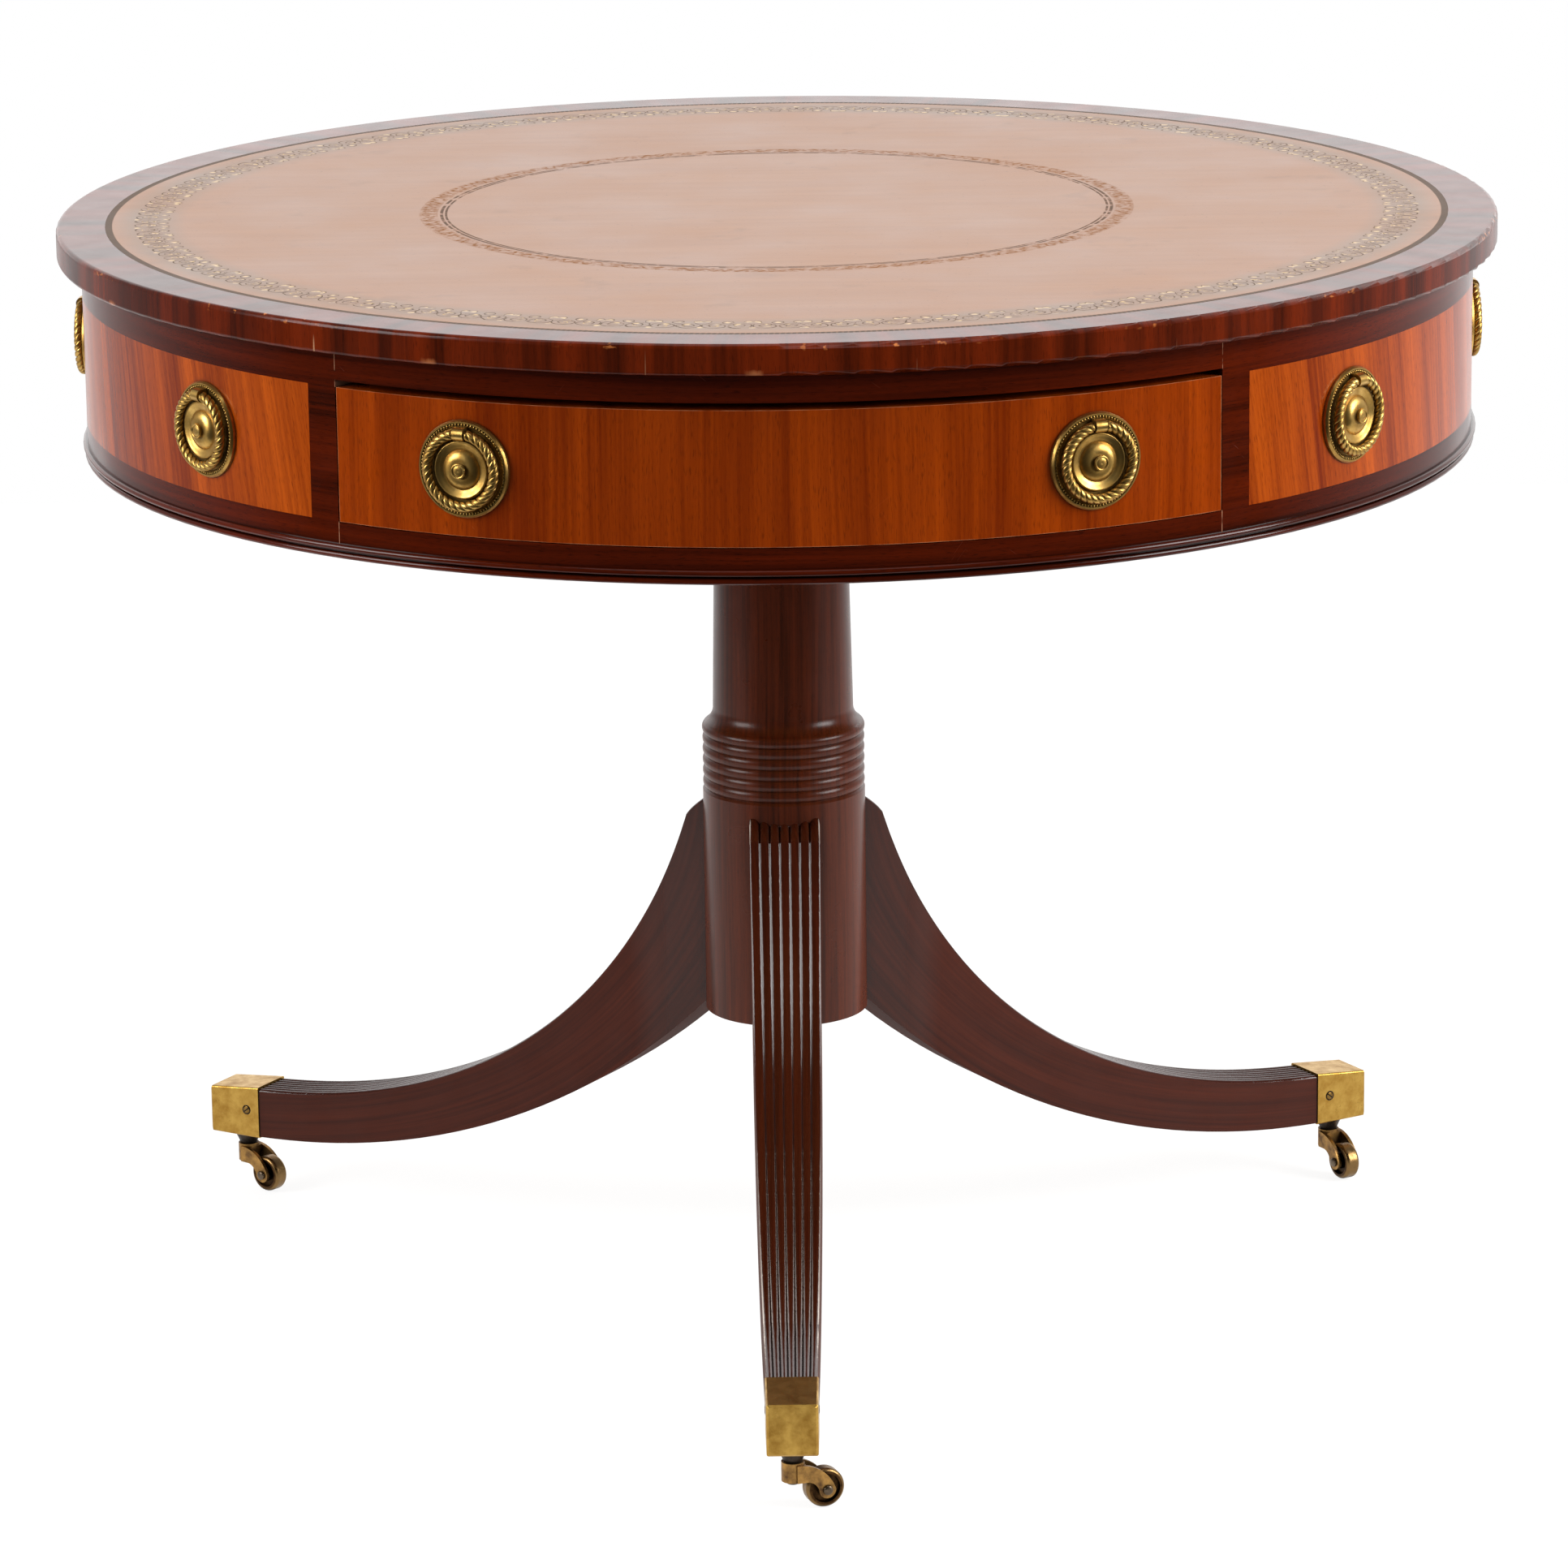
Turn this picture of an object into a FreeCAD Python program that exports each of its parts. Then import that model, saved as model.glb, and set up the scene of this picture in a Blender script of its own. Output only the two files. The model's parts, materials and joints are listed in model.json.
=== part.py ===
import FreeCAD, Part
import os
import re
import Sketcher
from FreeCAD import Placement, Rotation, Vector

# Round drum table. Millimetres, +Z up, floor at zero, the column stands on the origin.
# The drawer opens towards -Y, over the front leg.

SIZES = {
    # top
    "table_height": 762,
    "top_radius": 485,
    "top_thickness": 20,
    "top_arris": 3,
    "leather_border_width": 33,
    "leather_thickness": 1.6,
    # frieze of the drum, from the top downwards
    "drum_radius": 469,
    "frieze_thickness": 22,
    "upper_rail_height": 19.5,
    "drawer_head_gap": 4.5,
    "drawer_front_height": 86,
    "drawer_run_gap": 0.5,
    "lower_rail_height": 13.5,
    "moulding_height": 9.5,
    # angles round the drum, in degrees, and its dummy drawer fronts
    "drawer_angle": 72.4,
    "drawer_pull_angle": 24.6,
    "dummy_pull_angle": 21.1,
    "dummy_count": 4,
    "banding_width": 22.5,
    "veneer_thickness": 1.5,
    # base moulding and bottom board
    "bottom_board_inset": 17,
    "moulding_ledge": 1,
    "moulding_bead_height": 4.3,
    "moulding_bead_rise": 2,
    "moulding_groove_depth": 2.5,
    # drawer box
    "drawer_end_gap": 0.8,
    "drawer_width": 500,
    "drawer_side_thickness": 12,
    "drawer_side_height": 74,
    "drawer_back_reach": 80,
    "drawer_back_drop": 6,
    "drawer_bottom_lift": 9,
    "drawer_bottom_thickness": 6,
    # what the drawer runs on and against
    "runner_width": 24,
    "runner_front_gap": 7,
    "runner_back_reach": 60,
    "guide_thickness": 12,
    "guide_height": 37,
    "kicker_width": 26,
    "kicker_gap": 2,
    "stop_width": 60,
    "stop_depth": 20,
    "stop_height": 36,
    "slide_play": 0.3,
    # pull backplate, outwards from the drum's face
    "plate_radius": 31,
    "plate_sink": 1.6,
    "plate_rim_height": 2.6,
    "plate_rim_width": 1.8,
    "plate_dish_height": 1.2,
    "plate_bead_seat_radius": 26.2,
    "plate_bead_seat_height": 1.8,
    "boss_radius": 18.4,
    "boss_height": 4.4,
    "boss_shoulder_width": 3.4,
    "boss_groove_depth": 1,
    "dome_radius": 13,
    "dome_height": 7.6,
    "dome_rise": 1.2,
    "button_radius": 4.6,
    "button_height": 9.2,
    "button_rise": 0.8,
    # ring of the pull and the sleeve that it hangs in
    "ring_radius": 23,
    "ring_wire_radius": 3.3,
    "ring_stand_off": 5.8,
    "ring_pin_radius": 1.8,
    "ring_pin_length": 13,
    "sleeve_radius": 4.1,
    "sleeve_width": 7.5,
    "sleeve_end_gap": 0.4,
    # column, from the block under the drum downwards
    "block_radius": 120,
    "block_height": 28,
    "block_arris": 8,
    "tenon_radius": 25,
    "shaft_top_radius": 45,
    "shaft_foot_radius": 48.4,
    "shaft_foot_height": 417,
    "cove_radius": 53.4,
    "cove_foot_height": 405.6,
    "cove_rise": 1.6,
    "bead_height": 8,
    "bead_rise": 2.2,
    "reed_count": 5,
    "reed_height": 7.6,
    "reed_rise": 1.5,
    "reed_root_radius": 54.4,
    "foot_radius": 56,
    "column_under_height": 201,
    # screws between the block and the bottom board
    "screw_count": 4,
    "screw_circle_radius": 85,
    "screw_radius": 3,
    "screw_bite": 7,
    "screw_head_radius": 6.5,
    "screw_head_height": 4,
    "screw_head_rise": 1.2,
    # sabre leg: corners of the curves that its crest and its sole follow
    "leg_count": 3,
    "leg_stations": 10,
    "leg_nose_stations": 4,
    "leg_root_bite": 9,
    "leg_root_width": 48,
    "leg_toe_width": 33,
    "leg_reeds": 7,
    "leg_reed_rise": 2.4,
    "crest_nose_height": 352,
    "crest_corner_reach": 63.8,
    "crest_corner_height": 339.6,
    "crest_start_reach": 65.4,
    "crest_start_height": 336,
    "crest_knee_reach": 94.7,
    "crest_knee_height": 247,
    "crest_sweep_reach": 184.9,
    "crest_sweep_height": 94.2,
    "crest_toe_height": 80.4,
    "sole_start_reach": 53,
    "sole_knee_reach": 122,
    "sole_knee_height": 134,
    "sole_sweep_reach": 250,
    "sole_sweep_height": 50,
    "sole_toe_height": 44,
    "dovetail_depth": 18,
    "dovetail_neck": 18,
    "dovetail_tail": 26,
    "dovetail_length": 125,
    # toe cap
    "cap_start_reach": 437,
    "cap_length": 42.6,
    "cap_root_width": 34.8,
    "cap_toe_width": 33.2,
    "cap_root_height": 81.6,
    "cap_toe_height": 77.6,
    "cap_under_height": 43,
    "cap_wall": 2,
    "cap_arris": 1.4,
    # caster; the headings are the ways that the wheels trail, in degrees from +X
    "front_caster_heading": 20,
    "left_caster_heading": -40,
    "right_caster_heading": -60,
    "caster_trail": 20.5,
    "wheel_radius": 13,
    "wheel_width": 11,
    "wheel_arris": 2.6,
    "wheel_hub_radius": 5.6,
    "wheel_rim_width": 3.4,
    "wheel_web_depth": 2.6,
    "axle_radius": 2.4,
    "axle_head": 1,
    "horn_height": 13,
    "horn_boss_radius": 7.5,
    "horn_arm_drop": 1.4,
    "horn_arm_thickness": 2.6,
    "horn_arm_gap": 0.6,
    "horn_back_rise": 5.5,
    "horn_hollow_rise": 1.5,
    "horn_eye_radius": 5.6,
    "collar_radius": 10.5,
    "collar_foot_radius": 6,
    "collar_height": 10,
    "pivot_radius": 3.6,
    "pivot_head_radius": 4.8,
    "pivot_head_height": 1.8,
    "pivot_head_ease": 1,
    "caster_play": 0.3,
    # running clearance of pins and how far a cut runs past its piece
    "bearing_play": 0.05,
    "overrun": 5,
}

# Which way a leg or a front faces, in degrees from +X.
FRONT_HEADING = -90
LEG_HEADINGS = {"front": -90, "left": 150, "right": 30}
SIDES = {"left": "-1", "right": "1"}

# An outline's arc bulges out of the piece or hollows into it; a quarter round rises by this part of its radius.
OUT = 1
IN = -1
QUARTER_SHARE = "(1 - sqrt(0.5))"

# Heights and reaches that follow from the sizes, written as sums of them.
TOP_UNDER = "(table_height - top_thickness)"
RAIL_UNDER = f"({TOP_UNDER} - upper_rail_height)"
FRONT_TOP = f"({RAIL_UNDER} - drawer_head_gap)"
FRONT_UNDER = f"({FRONT_TOP} - drawer_front_height)"
SILL_TOP = f"({FRONT_UNDER} - drawer_run_gap)"
FLOOR_TOP = f"({SILL_TOP} - lower_rail_height)"
DRUM_UNDER = f"({FLOOR_TOP} - moulding_height)"
BLOCK_UNDER = f"({DRUM_UNDER} - block_height)"
PULL_HEIGHT = f"(({FRONT_TOP} + {FRONT_UNDER}) / 2)"
LEATHER_REACH = "(top_radius - leather_border_width)"
FRIEZE_INNER = "(drum_radius - frieze_thickness)"
BOTTOM_RADIUS = "(drum_radius - bottom_board_inset)"
DUMMY_ANGLE = "((360 - drawer_angle) / dummy_count)"
SIDE_TOP = f"({FRONT_UNDER} + drawer_side_height)"
BOTTOM_UNDER = f"({FRONT_UNDER} + drawer_bottom_lift)"
BOTTOM_TOP = f"({BOTTOM_UNDER} + drawer_bottom_thickness)"
CASTER_REACH = "(cap_start_reach + cap_length / 2)"
HORN_TOP = "(cap_under_height - collar_height - caster_play)"
HORN_UNDER = f"({HORN_TOP} - horn_height)"
FORK_WIDTH = "(wheel_width + 2 * horn_arm_gap)"
HORN_WIDTH = f"({FORK_WIDTH} + 2 * horn_arm_thickness)"

doc = FreeCAD.newDocument("DrumTable")
sheet = doc.addObject("Spreadsheet::Sheet", "Sizes")
for row, (name, number) in enumerate(SIZES.items(), start=1):
    sheet.set(f"A{row}", name)
    sheet.set(f"B{row}", str(number))
    sheet.setAlias(f"B{row}", name)
doc.recompute()

SUBPARTS = []


def tied(text):
    """The sum with each size's name pointing at its cell."""
    return re.sub(r"[a-z_]+", lambda word: f"Sizes.{word[0]}" if word[0] in SIZES else word[0], text)


def value(text):
    """What a sum of sizes comes to now."""
    return float(sheet.evalExpression(tied(text)))


def keep(label, item):
    """Name a finished piece, which is one of the table's nodes."""
    item.Label = label
    SUBPARTS.append(item)
    return item


def stand(heading, reach="0", height="0", turn=Rotation()):
    """A place at that reach from the column, with the piece's own X pointing outwards."""
    spin = Rotation(Vector(0, 0, 1), heading)
    return Placement(spin.multVec(Vector(value(reach), 0, value(height))), spin * turn)


def new_body(name):
    return doc.addObject("PartDesign::Body", name)


def new_sketch(body, plane_role, offset="0"):
    sketch = body.newObject("Sketcher::SketchObject", f"{body.Name}_sketch")
    plane = [item for item in body.Origin.OriginFeatures if item.Role == plane_role][0]
    sketch.AttachmentSupport = [(plane, "")]
    sketch.MapMode = "FlatFace"
    sketch.setExpression(".AttachmentOffset.Base.z", tied(offset))
    return sketch


def pin_point(sketch, edge, end, across, up):
    """Hold one end of an edge at two distances from the sketch's origin."""
    for kind, axis, text in (("DistanceX", -2, across), ("DistanceY", -1, up)):
        number = value(text)
        if text == "0":
            sketch.addConstraint(Sketcher.Constraint("PointOnObject", edge, end, axis))
        elif number > 0:
            index = sketch.addConstraint(Sketcher.Constraint(kind, -1, 1, edge, end, number))
            sketch.setExpression(f"Constraints[{index}]", tied(text))
        else:
            index = sketch.addConstraint(Sketcher.Constraint(kind, edge, end, -1, 1, -number))
            sketch.setExpression(f"Constraints[{index}]", f"-({tied(text)})")


def outline(body, plane_role, points, offset="0"):
    """A closed sketch, anticlockwise. A point with a side and a rise starts an arc to the next point."""
    sketch = new_sketch(body, plane_role, offset)
    corners = [Vector(value(point[0]), value(point[1]), 0) for point in points]
    ends = []
    for edge, point in enumerate(points):
        start = corners[edge]
        finish = corners[(edge + 1) % len(points)]
        if len(point) == 2:
            sketch.addGeometry(Part.LineSegment(start, finish), False)
            ends.append((1, 2))
            continue
        run = finish - start
        middle = (start + finish) * 0.5 + Vector(run.y, -run.x, 0).normalize() * point[2] * value(point[3])
        if point[2] == OUT:
            sketch.addGeometry(Part.Arc(start, middle, finish), False)
            ends.append((1, 2))
        else:
            sketch.addGeometry(Part.Arc(finish, middle, start), False)
            ends.append((2, 1))
    for edge, point in enumerate(points):
        after = (edge + 1) % len(points)
        follow = points[after]
        sketch.addConstraint(Sketcher.Constraint("Coincident", edge, ends[edge][1], after, ends[after][0]))
        pin_point(sketch, edge, ends[edge][0], point[0], point[1])
        if len(point) > 2:
            chord_squared = f"(({follow[0]}) - ({point[0]}))^2 + (({follow[1]}) - ({point[1]}))^2"
            radius = f"({chord_squared}) / (8 * ({point[3]})) + ({point[3]}) / 2"
            index = sketch.addConstraint(Sketcher.Constraint("Radius", edge, value(radius)))
            sketch.setExpression(f"Constraints[{index}]", tied(radius))
    return sketch


def circle(body, plane_role, across, up, radius, offset="0"):
    sketch = new_sketch(body, plane_role, offset)
    centre = Vector(value(across), value(up), 0)
    sketch.addGeometry(Part.Circle(centre, Vector(0, 0, 1), value(radius)), False)
    pin_point(sketch, 0, 3, across, up)
    index = sketch.addConstraint(Sketcher.Constraint("Radius", 0, value(radius)))
    sketch.setExpression(f"Constraints[{index}]", tied(radius))
    return sketch


def rectangle(low_across, low_up, high_across, high_up):
    return [(low_across, low_up), (high_across, low_up), (high_across, high_up), (low_across, high_up)]


def eased_rectangle(low_across, low_up, high_across, high_up, ease):
    """A rectangle with quarter-round corners."""
    rise = f"{QUARTER_SHARE} * {ease}"
    return [
        (f"{low_across} + {ease}", low_up),
        (f"{high_across} - {ease}", low_up, OUT, rise),
        (high_across, f"{low_up} + {ease}"),
        (high_across, f"{high_up} - {ease}", OUT, rise),
        (f"{high_across} - {ease}", high_up),
        (f"{low_across} + {ease}", high_up, OUT, rise),
        (low_across, f"{high_up} - {ease}"),
        (low_across, f"{low_up} + {ease}", OUT, rise),
    ]


def turn(body, kind, sketch, axis="V_Axis", angle="360"):
    """Turn an outline about an axis of its sketch, to both sides alike where it isn't a full turn."""
    feature = body.newObject(f"PartDesign::{kind}", f"{body.Name}_turn")
    feature.Profile = sketch
    feature.ReferenceAxis = (sketch, [axis])
    feature.Midplane = angle != "360"
    feature.setExpression("Angle", tied(angle))
    return feature


def pad(body, kind, sketch, length, both_sides=False, reverse=False):
    feature = body.newObject(f"PartDesign::{kind}", f"{body.Name}_pad")
    feature.Profile = sketch
    feature.setExpression("Length", tied(length))
    feature.Midplane = both_sides
    feature.Reversed = reverse
    return feature


def repeat_round(body, feature, sketch, count):
    """Copies of a feature round the vertical axis."""
    pattern = body.newObject("PartDesign::PolarPattern", f"{body.Name}_round")
    pattern.Originals = [feature]
    pattern.Axis = (sketch, ["N_Axis"])
    pattern.setExpression("Occurrences", tied(count))
    body.Tip = pattern


def turned(label, points):
    """A piece from the lathe, about the table's own axis."""
    body = new_body(label)
    turn(body, "Revolution", outline(body, "XZ_Plane", points))
    return body


def arc_board(label, inner, outer, low, high, angle, heading):
    """A board bent round the drum."""
    body = new_body(label)
    turn(body, "Revolution", outline(body, "XZ_Plane", rectangle(inner, low, outer, high)), angle=angle)
    body.Placement = stand(heading)
    return body


def box(label, low, high):
    piece = doc.addObject("Part::Box", label)
    for size, letter, start, finish in zip(("Length", "Width", "Height"), "xyz", low, high):
        piece.setExpression(size, tied(f"({finish}) - ({start})"))
        piece.setExpression(f".Placement.Base.{letter}", tied(start))
    return piece


def cylinder(label, radius, length):
    piece = doc.addObject("Part::Cylinder", label)
    piece.setExpression("Radius", tied(radius))
    piece.setExpression("Height", tied(length))
    return piece


def joined(kind, label, base, tool):
    """Two shapes combined by Cut, Common or Fuse."""
    piece = doc.addObject(f"Part::{kind}", label)
    piece.Base = base
    piece.Tool = tool
    return piece


def group(label, pieces):
    """Like pieces that share one node."""
    item = doc.addObject("Part::Compound", label)
    item.Links = pieces
    return keep(label, item)


def make_top():
    """Round top board with eased edges and a shallow bed for the leather."""
    bed = "(table_height - leather_thickness)"
    ease = f"{QUARTER_SHARE} * top_arris"
    board = turned("top_board", [
        ("0", TOP_UNDER),
        ("top_radius - top_arris", TOP_UNDER, OUT, ease),
        ("top_radius", f"{TOP_UNDER} + top_arris"),
        ("top_radius", "table_height - top_arris", OUT, ease),
        ("top_radius - top_arris", "table_height"),
        (LEATHER_REACH, "table_height"),
        (LEATHER_REACH, bed),
        ("0", bed),
    ])
    keep("top_board", board)
    keep("leather_top", turned("leather_top", rectangle("0", bed, LEATHER_REACH, "table_height")))


def make_frieze():
    """Two rails over and under the drawer, and the dummy sections with their let-in veneer."""
    for label, low, high in (("front_upper_rail", RAIL_UNDER, TOP_UNDER), ("front_lower_rail", FLOOR_TOP, SILL_TOP)):
        keep(label, arc_board(label, FRIEZE_INNER, "drum_radius", low, high, "drawer_angle", FRONT_HEADING))
    veneer_angle = f"({DUMMY_ANGLE} - 2 * banding_width / drum_radius * 180 / pi)"
    veneer_bed = "(drum_radius - veneer_thickness)"
    for number in range(int(value("dummy_count"))):
        label = f"frieze_section_{number + 1}"
        heading = dummy_heading(number)
        section = arc_board(label, FRIEZE_INNER, "drum_radius", FLOOR_TOP, TOP_UNDER, DUMMY_ANGLE, heading)
        bed = rectangle(veneer_bed, FRONT_UNDER, "drum_radius + overrun", FRONT_TOP)
        turn(section, "Groove", outline(section, "XZ_Plane", bed), angle=veneer_angle)
        keep(label, section)
        sheet_label = f"dummy_veneer_{number + 1}"
        veneer = arc_board(sheet_label, veneer_bed, "drum_radius", FRONT_UNDER, FRONT_TOP, veneer_angle, heading)
        keep(sheet_label, veneer)


def dummy_heading(number):
    """The middle of a dummy section, counted from the drawer's right edge round the drum."""
    return FRONT_HEADING + value(f"drawer_angle / 2 + {DUMMY_ANGLE} * ({number} + 1 / 2)")


def make_drum_floor():
    """Bottom board with a twin-bead moulding round it."""
    face = "(drum_radius + moulding_ledge)"
    groove = f"({face} - moulding_groove_depth)"
    lower_bead_top = f"({DRUM_UNDER} + moulding_bead_height)"
    upper_bead_under = f"({FLOOR_TOP} - moulding_bead_height)"
    keep("base_moulding", turned("base_moulding", [
        (BOTTOM_RADIUS, DRUM_UNDER),
        (f"{face} - moulding_ledge", DRUM_UNDER, OUT, "moulding_bead_rise"),
        (f"{face} - moulding_ledge", lower_bead_top),
        (groove, lower_bead_top),
        (groove, upper_bead_under),
        (face, upper_bead_under, OUT, "moulding_bead_rise"),
        (face, FLOOR_TOP),
        (BOTTOM_RADIUS, FLOOR_TOP),
    ]))
    board = turned("bottom_board", rectangle("0", DRUM_UNDER, BOTTOM_RADIUS, FLOOR_TOP))
    drill_screw_holes(board, DRUM_UNDER, "screw_bite")
    keep("bottom_board", board)


def drill_screw_holes(body, low, depth):
    """A ring of upright holes for the screws of the block."""
    sketch = circle(body, "XY_Plane", "screw_circle_radius", "0", "screw_radius", low)
    hole = pad(body, "Pocket", sketch, depth, reverse=True)
    repeat_round(body, hole, sketch, "screw_count")


def make_drawer():
    """Bowed front on a plain box whose boards run up to the front's hollow back."""
    end_angle = "(drawer_end_gap / drum_radius * 180 / pi)"
    front_angle = f"(drawer_angle - 2 * {end_angle})"
    front = arc_board("drawer_front", FRIEZE_INNER, "drum_radius", FRONT_UNDER, FRONT_TOP, front_angle, FRONT_HEADING)
    keep("drawer_front", front)
    half = "(drawer_width / 2)"
    inner = f"({half} - drawer_side_thickness)"
    back = "-drawer_back_reach"
    for side, sign in SIDES.items():
        near, far = sorted((f"{sign} * {inner}", f"{sign} * {half}"), key=value)
        low = (near, "-drum_radius", FRONT_UNDER)
        high = (far, back, SIDE_TOP)
        keep(f"drawer_side_{side}", behind_front(f"drawer_side_{side}", low, high))
    bottom_low = (f"-{inner}", "-drum_radius", BOTTOM_UNDER)
    keep("drawer_bottom", behind_front("drawer_bottom", bottom_low, (inner, back, BOTTOM_TOP)))
    back_low = (f"-{inner}", f"{back} - drawer_side_thickness", BOTTOM_TOP)
    keep("drawer_back", box("drawer_back", back_low, (inner, back, f"{SIDE_TOP} - drawer_back_drop")))


def behind_front(label, low, high):
    """A board of the drawer box, its front end scribed to the hollow back of the bowed front."""
    hollow = cylinder(f"{label}_scribe", FRIEZE_INNER, "table_height")
    return joined("Common", label, box(f"{label}_blank", low, high), hollow)


def make_runners():
    """L-shaped runners on the bottom board, kickers under the top and a stop behind the drawer."""
    half = "(drawer_width / 2)"
    guide = f"({half} + slide_play)"
    inner = f"({half} - runner_width)"
    outer = f"({guide} + guide_thickness)"
    front = f"(sqrt({FRIEZE_INNER}^2 - {outer}^2) - runner_front_gap)"
    length = f"{front} - runner_back_reach"
    kicker_low = f"({SIDE_TOP} + kicker_gap)"
    middle = f"({half} - drawer_side_thickness / 2)"
    for side, sign in SIDES.items():
        body = new_body(f"drawer_runner_{side}")
        points = [
            (inner, FLOOR_TOP),
            (outer, FLOOR_TOP),
            (outer, f"{FLOOR_TOP} + guide_height"),
            (guide, f"{FLOOR_TOP} + guide_height"),
            (guide, SILL_TOP),
            (inner, SILL_TOP),
        ]
        profile = [(f"{sign} * {across}", up) for across, up in points]
        pad(body, "Pad", outline(body, "XZ_Plane", profile, "runner_back_reach"), length)
        keep(f"drawer_runner_{side}", body)
        near = f"{sign} * {middle} - kicker_width / 2"
        far = f"{sign} * {middle} + kicker_width / 2"
        low = (near, f"-{front}", kicker_low)
        keep(f"drawer_kicker_{side}", box(f"drawer_kicker_{side}", low, (far, "-drawer_back_reach", TOP_UNDER)))
    stop_front = "(slide_play - drawer_back_reach)"
    low = ("-stop_width / 2", stop_front, FLOOR_TOP)
    high = ("stop_width / 2", f"{stop_front} + stop_depth", f"{FLOOR_TOP} + stop_height")
    keep("drawer_stop", box("drawer_stop", low, high))


def pull_plate(name, heading):
    """Turned backplate with a stepped boss, its back hollowed to sit on the drum, and a sleeve for the ring."""
    body = new_body(name)
    shoulder = "(boss_radius - boss_shoulder_width)"
    groove = "(boss_height - boss_groove_depth)"
    profile = [
        ("-plate_sink", "0"),
        ("button_height", "0", OUT, "button_rise / 2"),
        ("button_height - button_rise", "button_radius"),
        ("dome_height - button_rise", "button_radius"),
        ("dome_height - button_rise", "button_radius + boss_groove_depth", OUT, "dome_rise"),
        (groove, "dome_radius"),
        (groove, shoulder),
        ("boss_height", shoulder),
        ("boss_height", "boss_radius - boss_groove_depth"),
        ("plate_dish_height", "boss_radius"),
        ("plate_dish_height", "plate_bead_seat_radius"),
        ("plate_bead_seat_height", "plate_bead_seat_radius + boss_groove_depth"),
        ("plate_bead_seat_height", "plate_radius - plate_rim_width"),
        ("plate_rim_height", "plate_radius - plate_rim_width"),
        ("plate_rim_height", "plate_radius - plate_rim_width / 2"),
        ("plate_dish_height", "plate_radius"),
        ("-plate_sink", "plate_radius"),
    ]
    turn(body, "Revolution", outline(body, "XZ_Plane", profile), "H_Axis")
    ease = f"{QUARTER_SHARE} * sleeve_radius"
    sleeve = outline(body, "XZ_Plane", [
        ("0", "ring_radius - sleeve_radius"),
        ("ring_stand_off", "ring_radius - sleeve_radius", OUT, ease),
        ("ring_stand_off + sleeve_radius", "ring_radius", OUT, ease),
        ("ring_stand_off", "ring_radius + sleeve_radius"),
        ("0", "ring_radius + sleeve_radius"),
    ])
    pad(body, "Pad", sleeve, "sleeve_width", both_sides=True)
    bore = circle(body, "XZ_Plane", "ring_stand_off", "ring_radius", "ring_pin_radius + bearing_play")
    pad(body, "Pocket", bore, "sleeve_width + overrun", both_sides=True)
    body.Placement = stand(heading, "drum_radius", PULL_HEIGHT)
    return joined("Cut", f"{name}_seated", body, cylinder(f"{name}_face", "drum_radius", "table_height"))


def pull_ring(name, heading):
    """Ring with a gap at its top, bridged by the pin that turns in the sleeve."""
    gap_reach = "(sleeve_width / 2 + sleeve_end_gap)"
    gap_angle = f"({gap_reach} / (ring_radius - ring_wire_radius) * 180 / pi)"
    hoop = doc.addObject("Part::Torus", f"{name}_hoop")
    hoop.setExpression("Radius1", tied("ring_radius"))
    hoop.setExpression("Radius2", tied("ring_wire_radius"))
    hoop.setExpression("Angle3", tied(f"360 - 2 * {gap_angle}"))
    upright = Rotation(Vector(1, 0, 1), 180) * Rotation(Vector(0, 0, 1), value(gap_angle))
    hoop.Placement = stand(heading, "drum_radius + ring_stand_off", PULL_HEIGHT, upright)
    pin = cylinder(f"{name}_pin", "ring_pin_radius", "ring_pin_length")
    across = Placement(Vector(0, -value("ring_pin_length / 2"), 0), Rotation(Vector(1, 0, 0), -90))
    pin.Placement = stand(heading, "drum_radius + ring_stand_off", f"{PULL_HEIGHT} + ring_radius") * across
    return joined("Fuse", name, hoop, pin)


def make_pulls():
    """Two pulls on the drawer and two on each dummy section."""
    fronts = {"drawer": (FRONT_HEADING, "drawer_pull_angle")}
    for number in range(int(value("dummy_count"))):
        fronts[f"dummy_{number + 1}"] = (dummy_heading(number), "dummy_pull_angle")
    for front, (heading, angle) in fronts.items():
        plates = []
        for side, sign in SIDES.items():
            pull_heading = heading + value(f"{sign} * {angle}")
            plates.append(pull_plate(f"{front}_plate_{side}", pull_heading))
            keep(f"{front}_ring_{side}", pull_ring(f"{front}_ring_{side}", pull_heading))
        group(f"{front}_pull_plates", plates)


def make_column():
    """Turned column: round tenon, tapered shaft, cove, bead, reeds and a plain foot with dovetail sockets."""
    reeds_top = "(cove_foot_height - bead_height)"
    points = [
        ("0", "column_under_height"),
        ("foot_radius", "column_under_height"),
        ("foot_radius", f"{reeds_top} - reed_height * (reed_count + 1 / 4)"),
    ]
    for number in range(int(value("reed_count")), 0, -1):
        points.append(("reed_root_radius", f"{reeds_top} - reed_height * {number}", OUT, "reed_rise"))
    points += [
        ("reed_root_radius", reeds_top, OUT, "bead_rise"),
        ("cove_radius", "cove_foot_height", IN, "cove_rise"),
        ("shaft_foot_radius", "shaft_foot_height"),
        ("shaft_top_radius", BLOCK_UNDER),
        ("tenon_radius", BLOCK_UNDER),
        ("tenon_radius", DRUM_UNDER),
        ("0", DRUM_UNDER),
    ]
    body = turned("column", points)
    sketch = outline(body, "XY_Plane", dovetail_outline("foot_radius + overrun"), "column_under_height")
    socket = pad(body, "Pocket", sketch, "dovetail_length", reverse=True)
    repeat_round(body, socket, sketch, "leg_count")
    body.Placement = stand(FRONT_HEADING)
    keep("column", body)


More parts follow.
